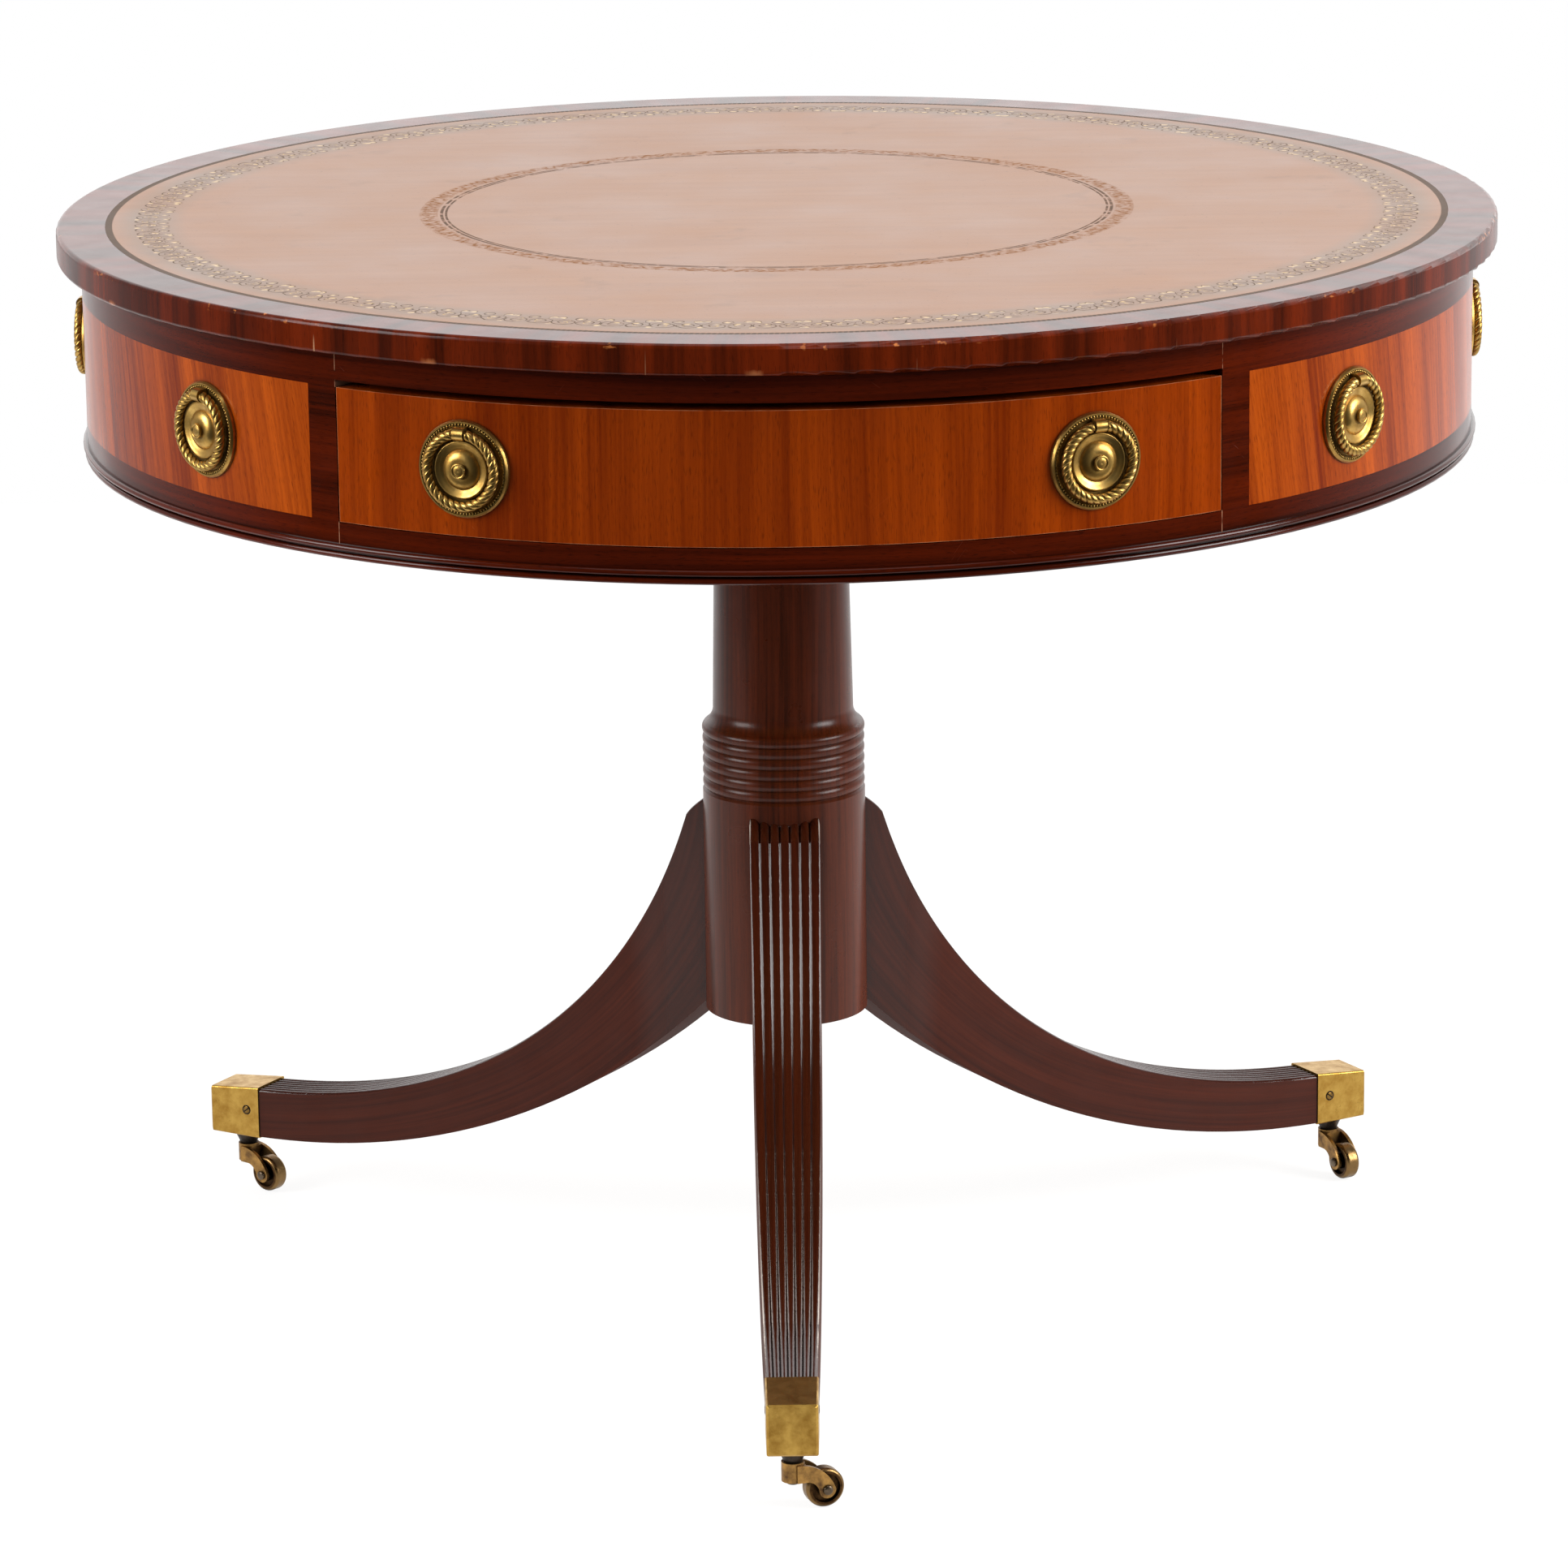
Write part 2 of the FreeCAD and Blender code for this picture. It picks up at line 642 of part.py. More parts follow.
def dovetail_outline(mouth):
    """Plan of a dovetail that narrows outwards to the column's face, then runs straight to its mouth."""
    tail = "(foot_radius - dovetail_depth)"
    half_tail = "dovetail_tail / 2"
    half_neck = "dovetail_neck / 2"
    return [
        (tail, f"-{half_tail}"),
        ("foot_radius", f"-{half_neck}"),
        (mouth, f"-{half_neck}"),
        (mouth, half_neck),
        ("foot_radius", half_neck),
        (tail, half_tail),
    ]


def make_block():
    """Round block that takes the column's tenon and is screwed up into the bottom board."""
    block = turned("column_block", [
        ("tenon_radius", BLOCK_UNDER),
        ("block_radius - block_arris", BLOCK_UNDER),
        ("block_radius", f"{BLOCK_UNDER} + block_arris"),
        ("block_radius", DRUM_UNDER),
        ("tenon_radius", DRUM_UNDER),
    ])
    drill_screw_holes(block, BLOCK_UNDER, "block_height")
    keep("column_block", block)
    screws = []
    count = int(value("screw_count"))
    for number in range(count):
        screw = turned(f"block_screw_{number + 1}", [
            ("0", f"{BLOCK_UNDER} - screw_head_height", OUT, "screw_head_rise / 4"),
            ("screw_head_radius", f"{BLOCK_UNDER} - screw_head_height + screw_head_rise"),
            ("screw_head_radius", BLOCK_UNDER),
            ("screw_radius", BLOCK_UNDER),
            ("screw_radius", f"{DRUM_UNDER} + screw_bite"),
            ("0", f"{DRUM_UNDER} + screw_bite"),
        ])
        screw.Placement = stand(number * 360 / count, "screw_circle_radius")
        screws.append(screw)
    group("block_screws", screws)


def leg_section(crest, sole, half_width):
    """A cut through the leg: flat sole, straight sides and reeds along the crest that shrink as the leg narrows."""
    up = Vector(crest - sole).normalize()
    valley = crest - up * (value("leg_reed_rise / (leg_root_width / 2)") * half_width)
    reeds = int(value("leg_reeds"))

    def across(point, share):
        return point + Vector(0, (2 * share - 1) * half_width, 0)

    edges = [
        Part.LineSegment(across(sole, 1), across(sole, 0)).toShape(),
        Part.LineSegment(across(sole, 0), across(valley, 0)).toShape(),
    ]
    for number in range(reeds):
        start = across(valley, number / reeds)
        peak = across(crest, (number + 1 / 2) / reeds)
        finish = across(valley, (number + 1) / reeds)
        edges.append(Part.Arc(start, peak, finish).toShape())
    edges.append(Part.LineSegment(across(valley, 1), across(sole, 1)).toShape())
    return Part.Wire(edges)


def leg_curve(names):
    """A smooth curve in the leg's own plane, drawn towards its named corners."""
    curve = Part.BezierCurve()
    curve.setPoles([Vector(value(reach), 0, value(height)) for reach, height in names])
    return curve


def leg_blade():
    """The swept leg, lofted through sections that fan out from the column to the toe."""
    nose = leg_curve([
        ("foot_radius - leg_root_bite", "crest_nose_height"),
        ("crest_corner_reach", "crest_corner_height"),
        ("crest_start_reach", "crest_start_height"),
    ])
    crest = leg_curve([
        ("crest_start_reach", "crest_start_height"),
        ("crest_knee_reach", "crest_knee_height"),
        ("crest_sweep_reach", "crest_sweep_height"),
        ("cap_start_reach", "crest_toe_height"),
    ])
    sole = leg_curve([
        ("sole_start_reach", "column_under_height"),
        ("sole_knee_reach", "sole_knee_height"),
        ("sole_sweep_reach", "sole_sweep_height"),
        ("cap_start_reach", "sole_toe_height"),
    ])
    root_sole = Vector(nose.value(0).x, 0, value("column_under_height + leg_root_bite / 2"))
    half_root = value("leg_root_width / 2")
    half_toe = value("leg_toe_width / 2")
    nose_sections = []
    for place in even_places(nose, "leg_nose_stations"):
        nose_sole = root_sole + (sole.value(0) - root_sole) * place
        nose_sections.append(leg_section(nose.value(place), nose_sole, half_root))
    sections = []
    for place in even_places(crest, "leg_stations"):
        top = crest.value(place)
        along_share = (top.x - crest.value(0).x) / (crest.value(1).x - crest.value(0).x)
        half_width = half_root + (half_toe - half_root) * along_share
        sections.append(leg_section(top, sole.value(place), half_width))
    return Part.makeLoft(sections, True, False).fuse(Part.makeLoft(nose_sections, True, False))


def even_places(curve, count):
    """Where a curve is to be sectioned for its sections to stand evenly along it, both ends included."""
    steps = int(value(count)) - 1
    inner = [curve.parameterAtDistance(curve.length() * number / steps) for number in range(1, steps)]
    return [0, *inner, 1]


def make_legs():
    """Three sabre legs, each dovetailed into the column and tenoned into its toe cap."""
    for side, heading in LEG_HEADINGS.items():
        name = f"leg_{side}"
        blade = doc.addObject("Part::Feature", f"{name}_blade")
        blade.Shape = leg_blade()
        blade.Placement = stand(heading)
        fitted = joined("Cut", f"{name}_fitted", blade, cylinder(f"{name}_column", "foot_radius", "table_height"))
        tail = new_body(f"{name}_dovetail")
        plan = outline(tail, "XY_Plane", dovetail_outline("foot_radius + leg_reed_rise"), "column_under_height")
        pad(tail, "Pad", plan, "dovetail_length")
        tail.Placement = stand(heading)
        tenon = new_body(f"{name}_tenon")
        cap_room(tenon, "AdditiveLoft")
        tenon.Placement = stand(heading)
        rooted = joined("Fuse", f"{name}_rooted", fitted, tail)
        keep(name, joined("Fuse", name, rooted, tenon))


def loft_through(body, kind, sections):
    loft = body.newObject(f"PartDesign::{kind}", f"{body.Name}_loft")
    loft.Profile = sections[0]
    loft.Sections = sections[1:]
    loft.Ruled = True


def cap_room(body, kind):
    """The tapered room inside a toe cap, which the leg's tenon fills."""
    sections = []
    for offset, width, top in (
        ("cap_start_reach", "cap_root_width", "cap_root_height"),
        ("cap_start_reach + cap_length - cap_wall", "cap_toe_width", "cap_toe_height"),
    ):
        half = f"({width} / 2 - cap_wall)"
        points = rectangle(f"-{half}", "cap_under_height + cap_wall", half, f"{top} - cap_wall")
        sections.append(outline(body, "YZ_Plane", points, offset))
    loft_through(body, kind, sections)


def make_toe_caps():
    """Brass boxes over the toes, tapered to the front, with eased outer edges."""
    for side, heading in LEG_HEADINGS.items():
        body = new_body(f"toe_cap_{side}")
        sections = []
        for offset, width, top, inset in (
            ("cap_start_reach", "cap_root_width", "cap_root_height", "0"),
            ("cap_start_reach + cap_length - cap_arris", "cap_toe_width", "cap_toe_height", "0"),
            ("cap_start_reach + cap_length", "cap_toe_width", "cap_toe_height", "cap_arris"),
        ):
            half = f"({width} / 2 - {inset})"
            points = eased_rectangle(f"-{half}", f"cap_under_height + {inset}", half, f"{top} - {inset}", "cap_arris")
            sections.append(outline(body, "YZ_Plane", points, offset))
        loft_through(body, "AdditiveLoft", sections)
        cap_room(body, "SubtractiveLoft")
        body.Placement = stand(heading)
        keep(f"toe_cap_{side}", body)


def make_pivots():
    """Tapered collar and riveted pin under each toe cap."""
    pivots = []
    collar_under = "(cap_under_height - collar_height)"
    head_top = f"({HORN_UNDER} - caster_play)"
    head_under = f"({head_top} - pivot_head_height)"
    for side, heading in LEG_HEADINGS.items():
        pivot = turned(f"pivot_{side}", [
            ("0", head_under),
            ("pivot_head_radius - pivot_head_ease", head_under),
            ("pivot_head_radius", f"{head_under} + pivot_head_ease"),
            ("pivot_head_radius", head_top),
            ("pivot_radius", head_top),
            ("pivot_radius", collar_under),
            ("collar_foot_radius", collar_under),
            ("collar_radius", "cap_under_height"),
            ("0", "cap_under_height"),
        ])
        pivot.Placement = stand(heading, CASTER_REACH)
        pivots.append(pivot)
    group("caster_pivots", pivots)


def caster_place(side, trail="0", height="0"):
    """A place on a caster, whose own X points the way that its wheel trails."""
    heading = value(f"{side}_caster_heading")
    return Placement(stand(LEG_HEADINGS[side], CASTER_REACH).Base, Rotation()) * stand(heading, trail, height)


def make_horns():
    """Forked horn: a round boss on the pivot and two arms that sweep back and down to the axle."""
    ease = f"{QUARTER_SHARE} * horn_eye_radius"
    for side in LEG_HEADINGS:
        body = new_body(f"caster_horn_{side}")
        boss = circle(body, "XY_Plane", "0", "0", "horn_boss_radius", HORN_UNDER)
        pad(body, "Pad", boss, "horn_height")
        arms = outline(body, "XZ_Plane", [
            ("0", HORN_UNDER),
            ("horn_boss_radius", HORN_UNDER, IN, "horn_hollow_rise"),
            ("caster_trail - horn_eye_radius", "wheel_radius", OUT, ease),
            ("caster_trail", "wheel_radius - horn_eye_radius", OUT, ease),
            ("caster_trail + horn_eye_radius", "wheel_radius", OUT, "horn_back_rise"),
            ("0", f"{HORN_TOP} - horn_arm_drop"),
        ])
        pad(body, "Pad", arms, HORN_WIDTH, both_sides=True)
        fork = outline(body, "XZ_Plane", rectangle(
            "horn_boss_radius - horn_arm_gap", "0", "caster_trail + horn_eye_radius + overrun", HORN_TOP))
        pad(body, "Pocket", fork, FORK_WIDTH, both_sides=True)
        bore = circle(body, "XY_Plane", "0", "0", "pivot_radius + bearing_play", HORN_UNDER)
        pad(body, "Pocket", bore, "horn_height", reverse=True)
        axle = circle(body, "XZ_Plane", "caster_trail", "wheel_radius", "axle_radius")
        pad(body, "Pad", axle, f"{HORN_WIDTH} + 2 * axle_head", both_sides=True)
        body.Placement = caster_place(side)
        keep(f"caster_horn_{side}", body)


def make_wheels():
    """Turned wheels with a hub, a thinner web and a rounded tread."""
    face = "(wheel_width / 2)"
    web = f"({face} - wheel_web_depth)"
    rim = "(wheel_radius - wheel_rim_width)"
    hole = "axle_radius + bearing_play"
    ease = f"{QUARTER_SHARE} * wheel_arris"
    for side in LEG_HEADINGS:
        body = new_body(f"caster_wheel_{side}")
        profile = outline(body, "XY_Plane", [
            (hole, f"-{face}"),
            ("wheel_hub_radius", f"-{face}"),
            ("wheel_hub_radius", f"-{web}"),
            (rim, f"-{web}"),
            (rim, f"-{face}"),
            ("wheel_radius - wheel_arris", f"-{face}", OUT, ease),
            ("wheel_radius", f"wheel_arris - {face}"),
            ("wheel_radius", f"{face} - wheel_arris", OUT, ease),
            ("wheel_radius - wheel_arris", face),
            (rim, face),
            (rim, web),
            ("wheel_hub_radius", web),
            ("wheel_hub_radius", face),
            (hole, face),
        ])
        turn(body, "Revolution", profile)
        body.Placement = caster_place(side, "caster_trail", "wheel_radius")
        keep(f"caster_wheel_{side}", body)


def write_parts():
    """Check that everything was made, then write each piece to its own file."""
    doc.recompute()
    for item in doc.Objects:
        if "Invalid" in item.State or "Error" in item.State:
            raise RuntimeError(f"{item.Label} failed: {item.State}")
    for item in SUBPARTS:
        if item.Shape.isNull() or not item.Shape.isValid():
            raise RuntimeError(f"{item.Label} has no valid shape")
    os.makedirs("parts", exist_ok=True)
    for item in SUBPARTS:
        item.Shape.exportStep(f"parts/{item.Label}.step")
        print(item.Label, len(item.Shape.Solids), round(item.Shape.Volume))


make_top()
make_frieze()
make_drum_floor()
make_drawer()
make_runners()
make_pulls()
make_column()
make_block()
make_legs()
make_toe_caps()
make_pivots()
make_horns()
make_wheels()
write_parts()
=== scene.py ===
import json
import math

import bmesh
import bpy
from mathutils import Matrix, Vector

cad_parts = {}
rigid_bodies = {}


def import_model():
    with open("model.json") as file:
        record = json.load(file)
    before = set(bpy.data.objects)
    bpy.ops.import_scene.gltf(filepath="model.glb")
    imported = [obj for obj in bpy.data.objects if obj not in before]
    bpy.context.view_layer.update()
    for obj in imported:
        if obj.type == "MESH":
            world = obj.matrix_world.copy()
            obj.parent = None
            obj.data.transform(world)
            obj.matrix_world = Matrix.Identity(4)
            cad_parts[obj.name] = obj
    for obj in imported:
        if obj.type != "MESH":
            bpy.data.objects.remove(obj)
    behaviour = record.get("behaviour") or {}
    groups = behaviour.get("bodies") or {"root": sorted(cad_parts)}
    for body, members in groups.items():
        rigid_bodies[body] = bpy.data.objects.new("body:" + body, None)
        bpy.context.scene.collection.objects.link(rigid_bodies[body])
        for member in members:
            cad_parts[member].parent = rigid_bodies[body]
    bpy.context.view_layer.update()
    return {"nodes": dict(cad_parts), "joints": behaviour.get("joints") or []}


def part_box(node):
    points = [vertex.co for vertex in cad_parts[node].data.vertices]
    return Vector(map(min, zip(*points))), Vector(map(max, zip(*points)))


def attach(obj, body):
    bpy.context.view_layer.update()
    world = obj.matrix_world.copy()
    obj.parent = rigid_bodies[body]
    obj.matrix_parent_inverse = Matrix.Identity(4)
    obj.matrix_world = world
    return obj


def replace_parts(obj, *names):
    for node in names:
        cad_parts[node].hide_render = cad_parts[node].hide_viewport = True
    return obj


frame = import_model()

# Round drum table: lacquered mahogany, tooled leather and antique brass.
# Metres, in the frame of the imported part.

# Camera, as fitted to the photograph.
CAMERA_PLACE = (0.0, -4.5717, 1.5557)
CAMERA_PITCH = 0.2560
CAMERA_ROLL = 0.0130
CAMERA_LENS_MM = 157.05
CAMERA_SENSOR_MM = 36.0

# Floor and light.
FLOOR_HALF_WIDTH = 2.0
FLOOR_FRONT = -0.75
FLOOR_BACK = 2.6
FLOOR_DROP = 0.0006
FLOOR_GLOW_SHARE = 0.78
FLOOR_GLOW_STRENGTH = 1.12
AMBIENT = 0.35
STUDIO_DARK = 0.03
STUDIO_LEVEL = 0.95
STUDIO_RIGHT_LIFT = 0.2
STUDIO_FADE = (-0.1, 1.0)
SOFTBOXES = {
    "left_softbox": {"place": (-4.0, -1.5, 2.2), "aim": (0, 0, 0.55), "size": (2.2, 2.4), "watts": 165},
    "right_softbox": {"place": (4.0, -1.4, 2.2), "aim": (0, 0, 0.55), "size": (2.2, 2.4), "watts": 235},
    "top_softbox": {"place": (0, -0.4, 3.6), "aim": (0, 0, 0.7), "size": (2.4, 2.4), "watts": 35},
    "back_panel": {"place": (0, 3.6, 1.9), "aim": (0, 0, 1.3), "size": (7.0, 2.8), "watts": 45},
}
# Tall warm white cards at both sides, flagged off from all but the polish of the front leg's reeds.
CARD_COLOUR = (1.0, 0.9, 0.78)
LEG_CARDS = {
    "left_card": {"place": (-0.95, 0.75, 0.45), "aim": (0, 0.75, 0.45), "size": (1.1, 0.9), "watts": 16},
    "right_card": {"place": (0.95, 0.75, 0.45), "aim": (0, 0.75, 0.45), "size": (1.1, 0.9), "watts": 17},
}

# Radii and angles of the drum that its finish follows.
RIM_RADIUS = 0.485
LEATHER_RADIUS = 0.452
DRAWER_HALF_ANGLE = math.radians(36.2)
OPEN_JOINT_HALF_ANGLE = 0.0007
TALLEST_CHIP = 0.006

# The quarter ellipse that a leg's crest follows: its centre and half axes.
SWEEP_CENTRE_REACH = 0.47
SWEEP_CENTRE_HEIGHT = 0.37
SWEEP_REACH = 0.4
SWEEP_RISE = 0.29

# Gilt tooling of the leather.
# The outer band's scrolls are drawn in OUTER_TOOL_UNIT, the inner band's in millimetres.
OUTER_TOOL_RADIUS = 0.4215
OUTER_TOOL_REPEATS = 84
OUTER_TOOL_UNIT = 0.001
OUTER_BAND_HALF_WIDTH = 20.0
VOLUTE_RADIUS = 9.0
VOLUTE_GILT_RADIUS = 3.5
VOLUTE_PITCH = 4.2
TOOL_LINE_HALF_WIDTH = 0.6
TOOL_WOBBLE = 3.0
GREYED_FROM = (0.398, 0.412)
GREYED_TO = (0.446, 0.434)
EDGE_LINE_INSET = 0.005
EDGE_LINE_SOFTNESS = 0.0006
ROPE_PITCH = 0.0078
ROPE_GAP = 0.0026
INNER_TOOL_RADIUS = 0.235
INNER_TOOL_REPEATS = 100
INNER_BAND_HALF_WIDTH = 6.4
INNER_LINES = ({"radius": 0.2262, "half_width": 0.0013}, {"radius": 0.2232, "half_width": 0.001})
MM_PER_METRE = 1000

# Pulls.
RING_RADIUS = 0.023
RING_WIRE_RADIUS = 0.0033
RING_STRANDS = 3
RING_TURNS = 10
RING_STEPS = 180
RING_SECTION_POINTS = 24
RING_STRAND_DEPTH_SHARE = 0.3
RING_GAP_HALF_ANGLE = math.radians(12)
PIN_RADIUS = 0.0018
PIN_LENGTH = 0.013
BEAD_CIRCLE_RADIUS = 0.0282
BEAD_RADIUS = 0.0009
BEAD_COUNT = 84
BEAD_SEAT = 0.0018
RING_STAND_OFF = 0.0058
# Outward and radius of the points that the boss's raised ring and the button's rim are turned from.
BOSS_RING = ((0.0012, 0.019), (0.0034, 0.0189), (0.0048, 0.0185), (0.0053, 0.0178), (0.0051, 0.0171),
             (0.0046, 0.0163), (0.0045, 0.015), (0.004, 0.014), (0.0036, 0.0128))
BUTTON_RIM = ((0.0083, 0.0049), (0.009, 0.0049), (0.0094, 0.0046), (0.0095, 0.0042), (0.0093, 0.0037),
              (0.0088, 0.0034))
TURNING_STEPS = 56

# Small metal on the feet.
LEG_HEADINGS = (-90, 150, 30)
CAP_SCREW_REACH = 0.4475
CAP_SCREW_SIDE = 0.01715
CAP_SCREW_FROM_FLOOR = 0.0635
CAP_SCREW_RADIUS = 0.003
CAP_SCREW_HEIGHT = 0.0003
CAP_SCREW_SEGMENTS = 24
CAP_SCREW_SLOT = 0.0009
CAP_SCREW_SLOT_RISE = 0.8
CAP_SCREW_SLOT_RUN = 0.6
CAP_SCREW_TOP_SHARE = 0.7
CAP_SCREW_SEAT_SHARE = 1.2
AXLE_DOME_REACH = 0.0097
AXLE_DOME_RADIUS = 0.0032
AXLE_DOME_HEIGHT = 0.0012


def linear(red, green, blue):
    """A colour as it looks on a screen, 0 to 255, made linear."""
    channels = []
    for level in (red, green, blue):
        share = level / 255
        channels.append(share / 12.92 if share <= 0.04045 else ((share + 0.055) / 1.055) ** 2.4)
    return (*channels, 1.0)


FLOOR_COLOUR = linear(236, 234, 230)
MAHOGANY = {"dark": linear(38, 7, 1), "light": linear(90, 24, 2), "pore_and_shade": linear(20, 4, 1)}
RIM_MAHOGANY = {"dark": linear(50, 12, 2), "light": linear(108, 33, 4), "pore_and_shade": linear(26, 6, 1)}
COLUMN_MAHOGANY = {"dark": linear(46, 16, 5), "light": linear(94, 37, 12), "pore_and_shade": linear(18, 6, 3)}
LEG_MAHOGANY = {"dark": linear(48, 15, 5), "light": linear(76, 28, 11), "pore_and_shade": linear(14, 5, 3)}
VENEER = {"dark": linear(104, 31, 1), "light": linear(158, 62, 3), "pore_and_shade": linear(74, 22, 1)}
DUMMY_VENEER = {"dark": linear(104, 30, 3), "light": linear(182, 80, 14), "pore_and_shade": linear(66, 18, 2)}
INNER_WOOD = {"dark": linear(122, 74, 40), "light": linear(178, 124, 74), "pore_and_shade": linear(80, 46, 24)}
CRACKED_LACQUER = linear(196, 150, 112)
CHIPPED_WOOD = linear(182, 110, 66)
RUBBED_RIM = linear(204, 122, 62)
OPEN_JOINT = linear(178, 128, 100)
RUBBED_DRAWER = linear(206, 150, 110)
LEATHER = {
    "dark": linear(144, 99, 71), "light": linear(162, 116, 84), "stain": linear(96, 66, 48),
    "greyed": linear(116, 102, 86), "ink": linear(72, 58, 46), "edge": linear(62, 58, 50),
    "outer_gilt": linear(214, 182, 134), "inner_gilt": linear(136, 86, 36),
}
WHEEL_BRONZE = {
    "light": linear(84, 58, 32), "dark": linear(46, 30, 17), "tread": linear(160, 128, 82),
    "grime_and_shade": linear(22, 14, 8),
}


# Shader nodes.

def plug(tree, slot, term):
    """Give a socket a plain value, or join it to a field or another socket."""
    if isinstance(term, Field):
        tree.links.new(term.socket, slot)
    elif isinstance(term, bpy.types.NodeSocket):
        tree.links.new(term, slot)
    else:
        slot.default_value = term


def add_node(tree, kind, inputs=None, **settings):
    node = tree.nodes.new(kind)
    for name, setting in settings.items():
        setattr(node, name, setting)
    for name, term in (inputs or {}).items():
        plug(tree, node.inputs[name], term)
    return node


class Field:
    """A number that varies over a surface. Arithmetic on fields makes Math nodes."""

    def __init__(self, tree, socket):
        self.tree = tree
        self.socket = socket

    def maths(self, operation, *others):
        node = self.tree.nodes.new("ShaderNodeMath")
        node.operation = operation
        for slot, term in zip(node.inputs, (self, *others)):
            plug(self.tree, slot, term)
        return Field(self.tree, node.outputs[0])

    def __add__(self, other):
        return self.maths("ADD", other)

    def __sub__(self, other):
        return self.maths("SUBTRACT", other)

    def __mul__(self, other):
        return self.maths("MULTIPLY", other)

    def __truediv__(self, other):
        return self.maths("DIVIDE", other)

    def __mod__(self, other):
        return self.maths("FLOORED_MODULO", other)

    def __pow__(self, other):
        return self.maths("POWER", other)

    def __abs__(self):
        return self.maths("ABSOLUTE")

    def __gt__(self, other):
        return self.maths("GREATER_THAN", other)

    def __lt__(self, other):
        return self.maths("LESS_THAN", other)

    def most(self, other):
        return self.maths("MAXIMUM", other)

    def inverse(self):
        return (self * -1.0) + 1.0

    def between(self, low, high):
        """0 at low, 1 at high and clamped outside; high may be the smaller."""
        node = add_node(self.tree, "ShaderNodeMapRange", {"Value": self, "From Min": low, "From Max": high})
        return Field(self.tree, node.outputs[0])

    def line(self, centre, half_width):
        """1 on a line at that value, softly 0 beside it."""
        return abs(self - centre).between(half_width, half_width * 0.5)


def combine(tree, x, y, z=0.0):
    return add_node(tree, "ShaderNodeCombineXYZ", {"X": x, "Y": y, "Z": z}).outputs[0]


def noise(tree, vector, detail=2.0, roughness=0.5, distortion=0.0):
    inputs = {"Vector": vector, "Scale": 1.0, "Detail": detail, "Roughness": roughness,
              "Distortion": distortion}
    return Field(tree, add_node(tree, "ShaderNodeTexNoise", inputs).outputs[0])


def cloud(tree, spot, scale, detail, low, high, shift=(0, 0, 0), roughness=0.6):
    """Noise with its own scale along each axis, 0 up to low and 1 from high on."""
    moved = add_node(tree, "ShaderNodeMapping", {"Vector": spot, "Location": shift, "Scale": scale})
    return noise(tree, moved.outputs[0], detail, roughness).between(low, high)


def blend(tree, factor, first, second):
    """Mix two colours. A Mix node's colour sockets come after those of its other types."""
    first_colour, second_colour, mixed_colour = 6, 7, 2
    node = tree.nodes.new("ShaderNodeMix")
    node.data_type = "RGBA"
    plug(tree, node.inputs[0], factor)
    plug(tree, node.inputs[first_colour], first)
    plug(tree, node.inputs[second_colour], second)
    return node.outputs[mixed_colour]


def bump(tree, height, depth, strength):
    inputs = {"Height": height, "Distance": depth, "Strength": strength}
    return add_node(tree, "ShaderNodeBump", inputs).outputs[0]


def new_group(name, inputs, outputs):
    """An empty shader node group with its number sockets."""
    group = bpy.data.node_groups.new(name, "ShaderNodeTree")
    for direction, names in (("INPUT", inputs), ("OUTPUT", outputs)):
        for socket in names:
            group.interface.new_socket(name=socket, in_out=direction, socket_type="NodeSocketFloat")
    source = group.nodes.new("NodeGroupInput")
    sink = group.nodes.new("NodeGroupOutput")
    fields = {socket: Field(group, source.outputs[socket]) for socket in inputs}
    return group, fields, sink


def use_group(tree, group, **inputs):
    """Place a group in a material and give back its outputs as fields."""
    node = add_node(tree, "ShaderNodeGroup", node_tree=group)
    for name, term in inputs.items():
        plug(tree, node.inputs[name], term)
    return {socket.name: Field(tree, socket) for socket in node.outputs}


def new_material(name):
    material = bpy.data.materials.new(name)
    material.use_nodes = True
    return material, material.node_tree, material.node_tree.nodes["Principled BSDF"]


# Effects that several finishes share.

def make_unrolled():
    """A place as across, deep and height, and as angle, arc and reach round the column.

    The angle is 0 at the front and its seam is at the back.
    """
    group, _, sink = new_group("unrolled", (), ("Across", "Deep", "Height", "Angle", "Arc", "Reach"))
    place = add_node(group, "ShaderNodeTexCoord").outputs["Object"]
    parts = add_node(group, "ShaderNodeSeparateXYZ", {"Vector": place})
    across, deep, height = (Field(group, socket) for socket in parts.outputs)
    angle = across.maths("ARCTAN2", deep * -1.0)
    reach = (across * across + deep * deep) ** 0.5
    for name, term in (("Across", across), ("Deep", deep), ("Height", height), ("Angle", angle),
                       ("Arc", angle * reach), ("Reach", reach)):
        plug(group, sink.inputs[name], term)
    return group


def make_wood_grain():
    """Broad flitch stripes, fine fibres and short pores, running along the board."""
    names = ("Across", "Along", "Depth", "Seed")
    group, fields, sink = new_group("wood_grain", names, ("Stripes", "Fibres", "Pores"))
    across, along, depth, seed = (fields[name] for name in names)
    wander = noise(group, combine(group, across * 6.0, along * 5.0, seed), 1.0) * 0.006
    bent = across + wander
    stripes = noise(group, combine(group, bent * 34.0, along * 0.9, depth * 20.0 + seed), 4.0, 0.62, 0.3)
    fibres = noise(group, combine(group, bent * 420.0, along * 7.0, depth * 90.0 + seed), 3.0, 0.6)
    dashes = noise(group, combine(group, bent * 2100.0, along * 170.0, depth * 300.0 + seed), 0.0)
    plug(group, sink.inputs["Stripes"], stripes.between(0.38, 0.62))
    plug(group, sink.inputs["Fibres"], fibres.between(0.3, 0.7))
    plug(group, sink.inputs["Pores"], dashes.between(0.62, 0.78))
    return group


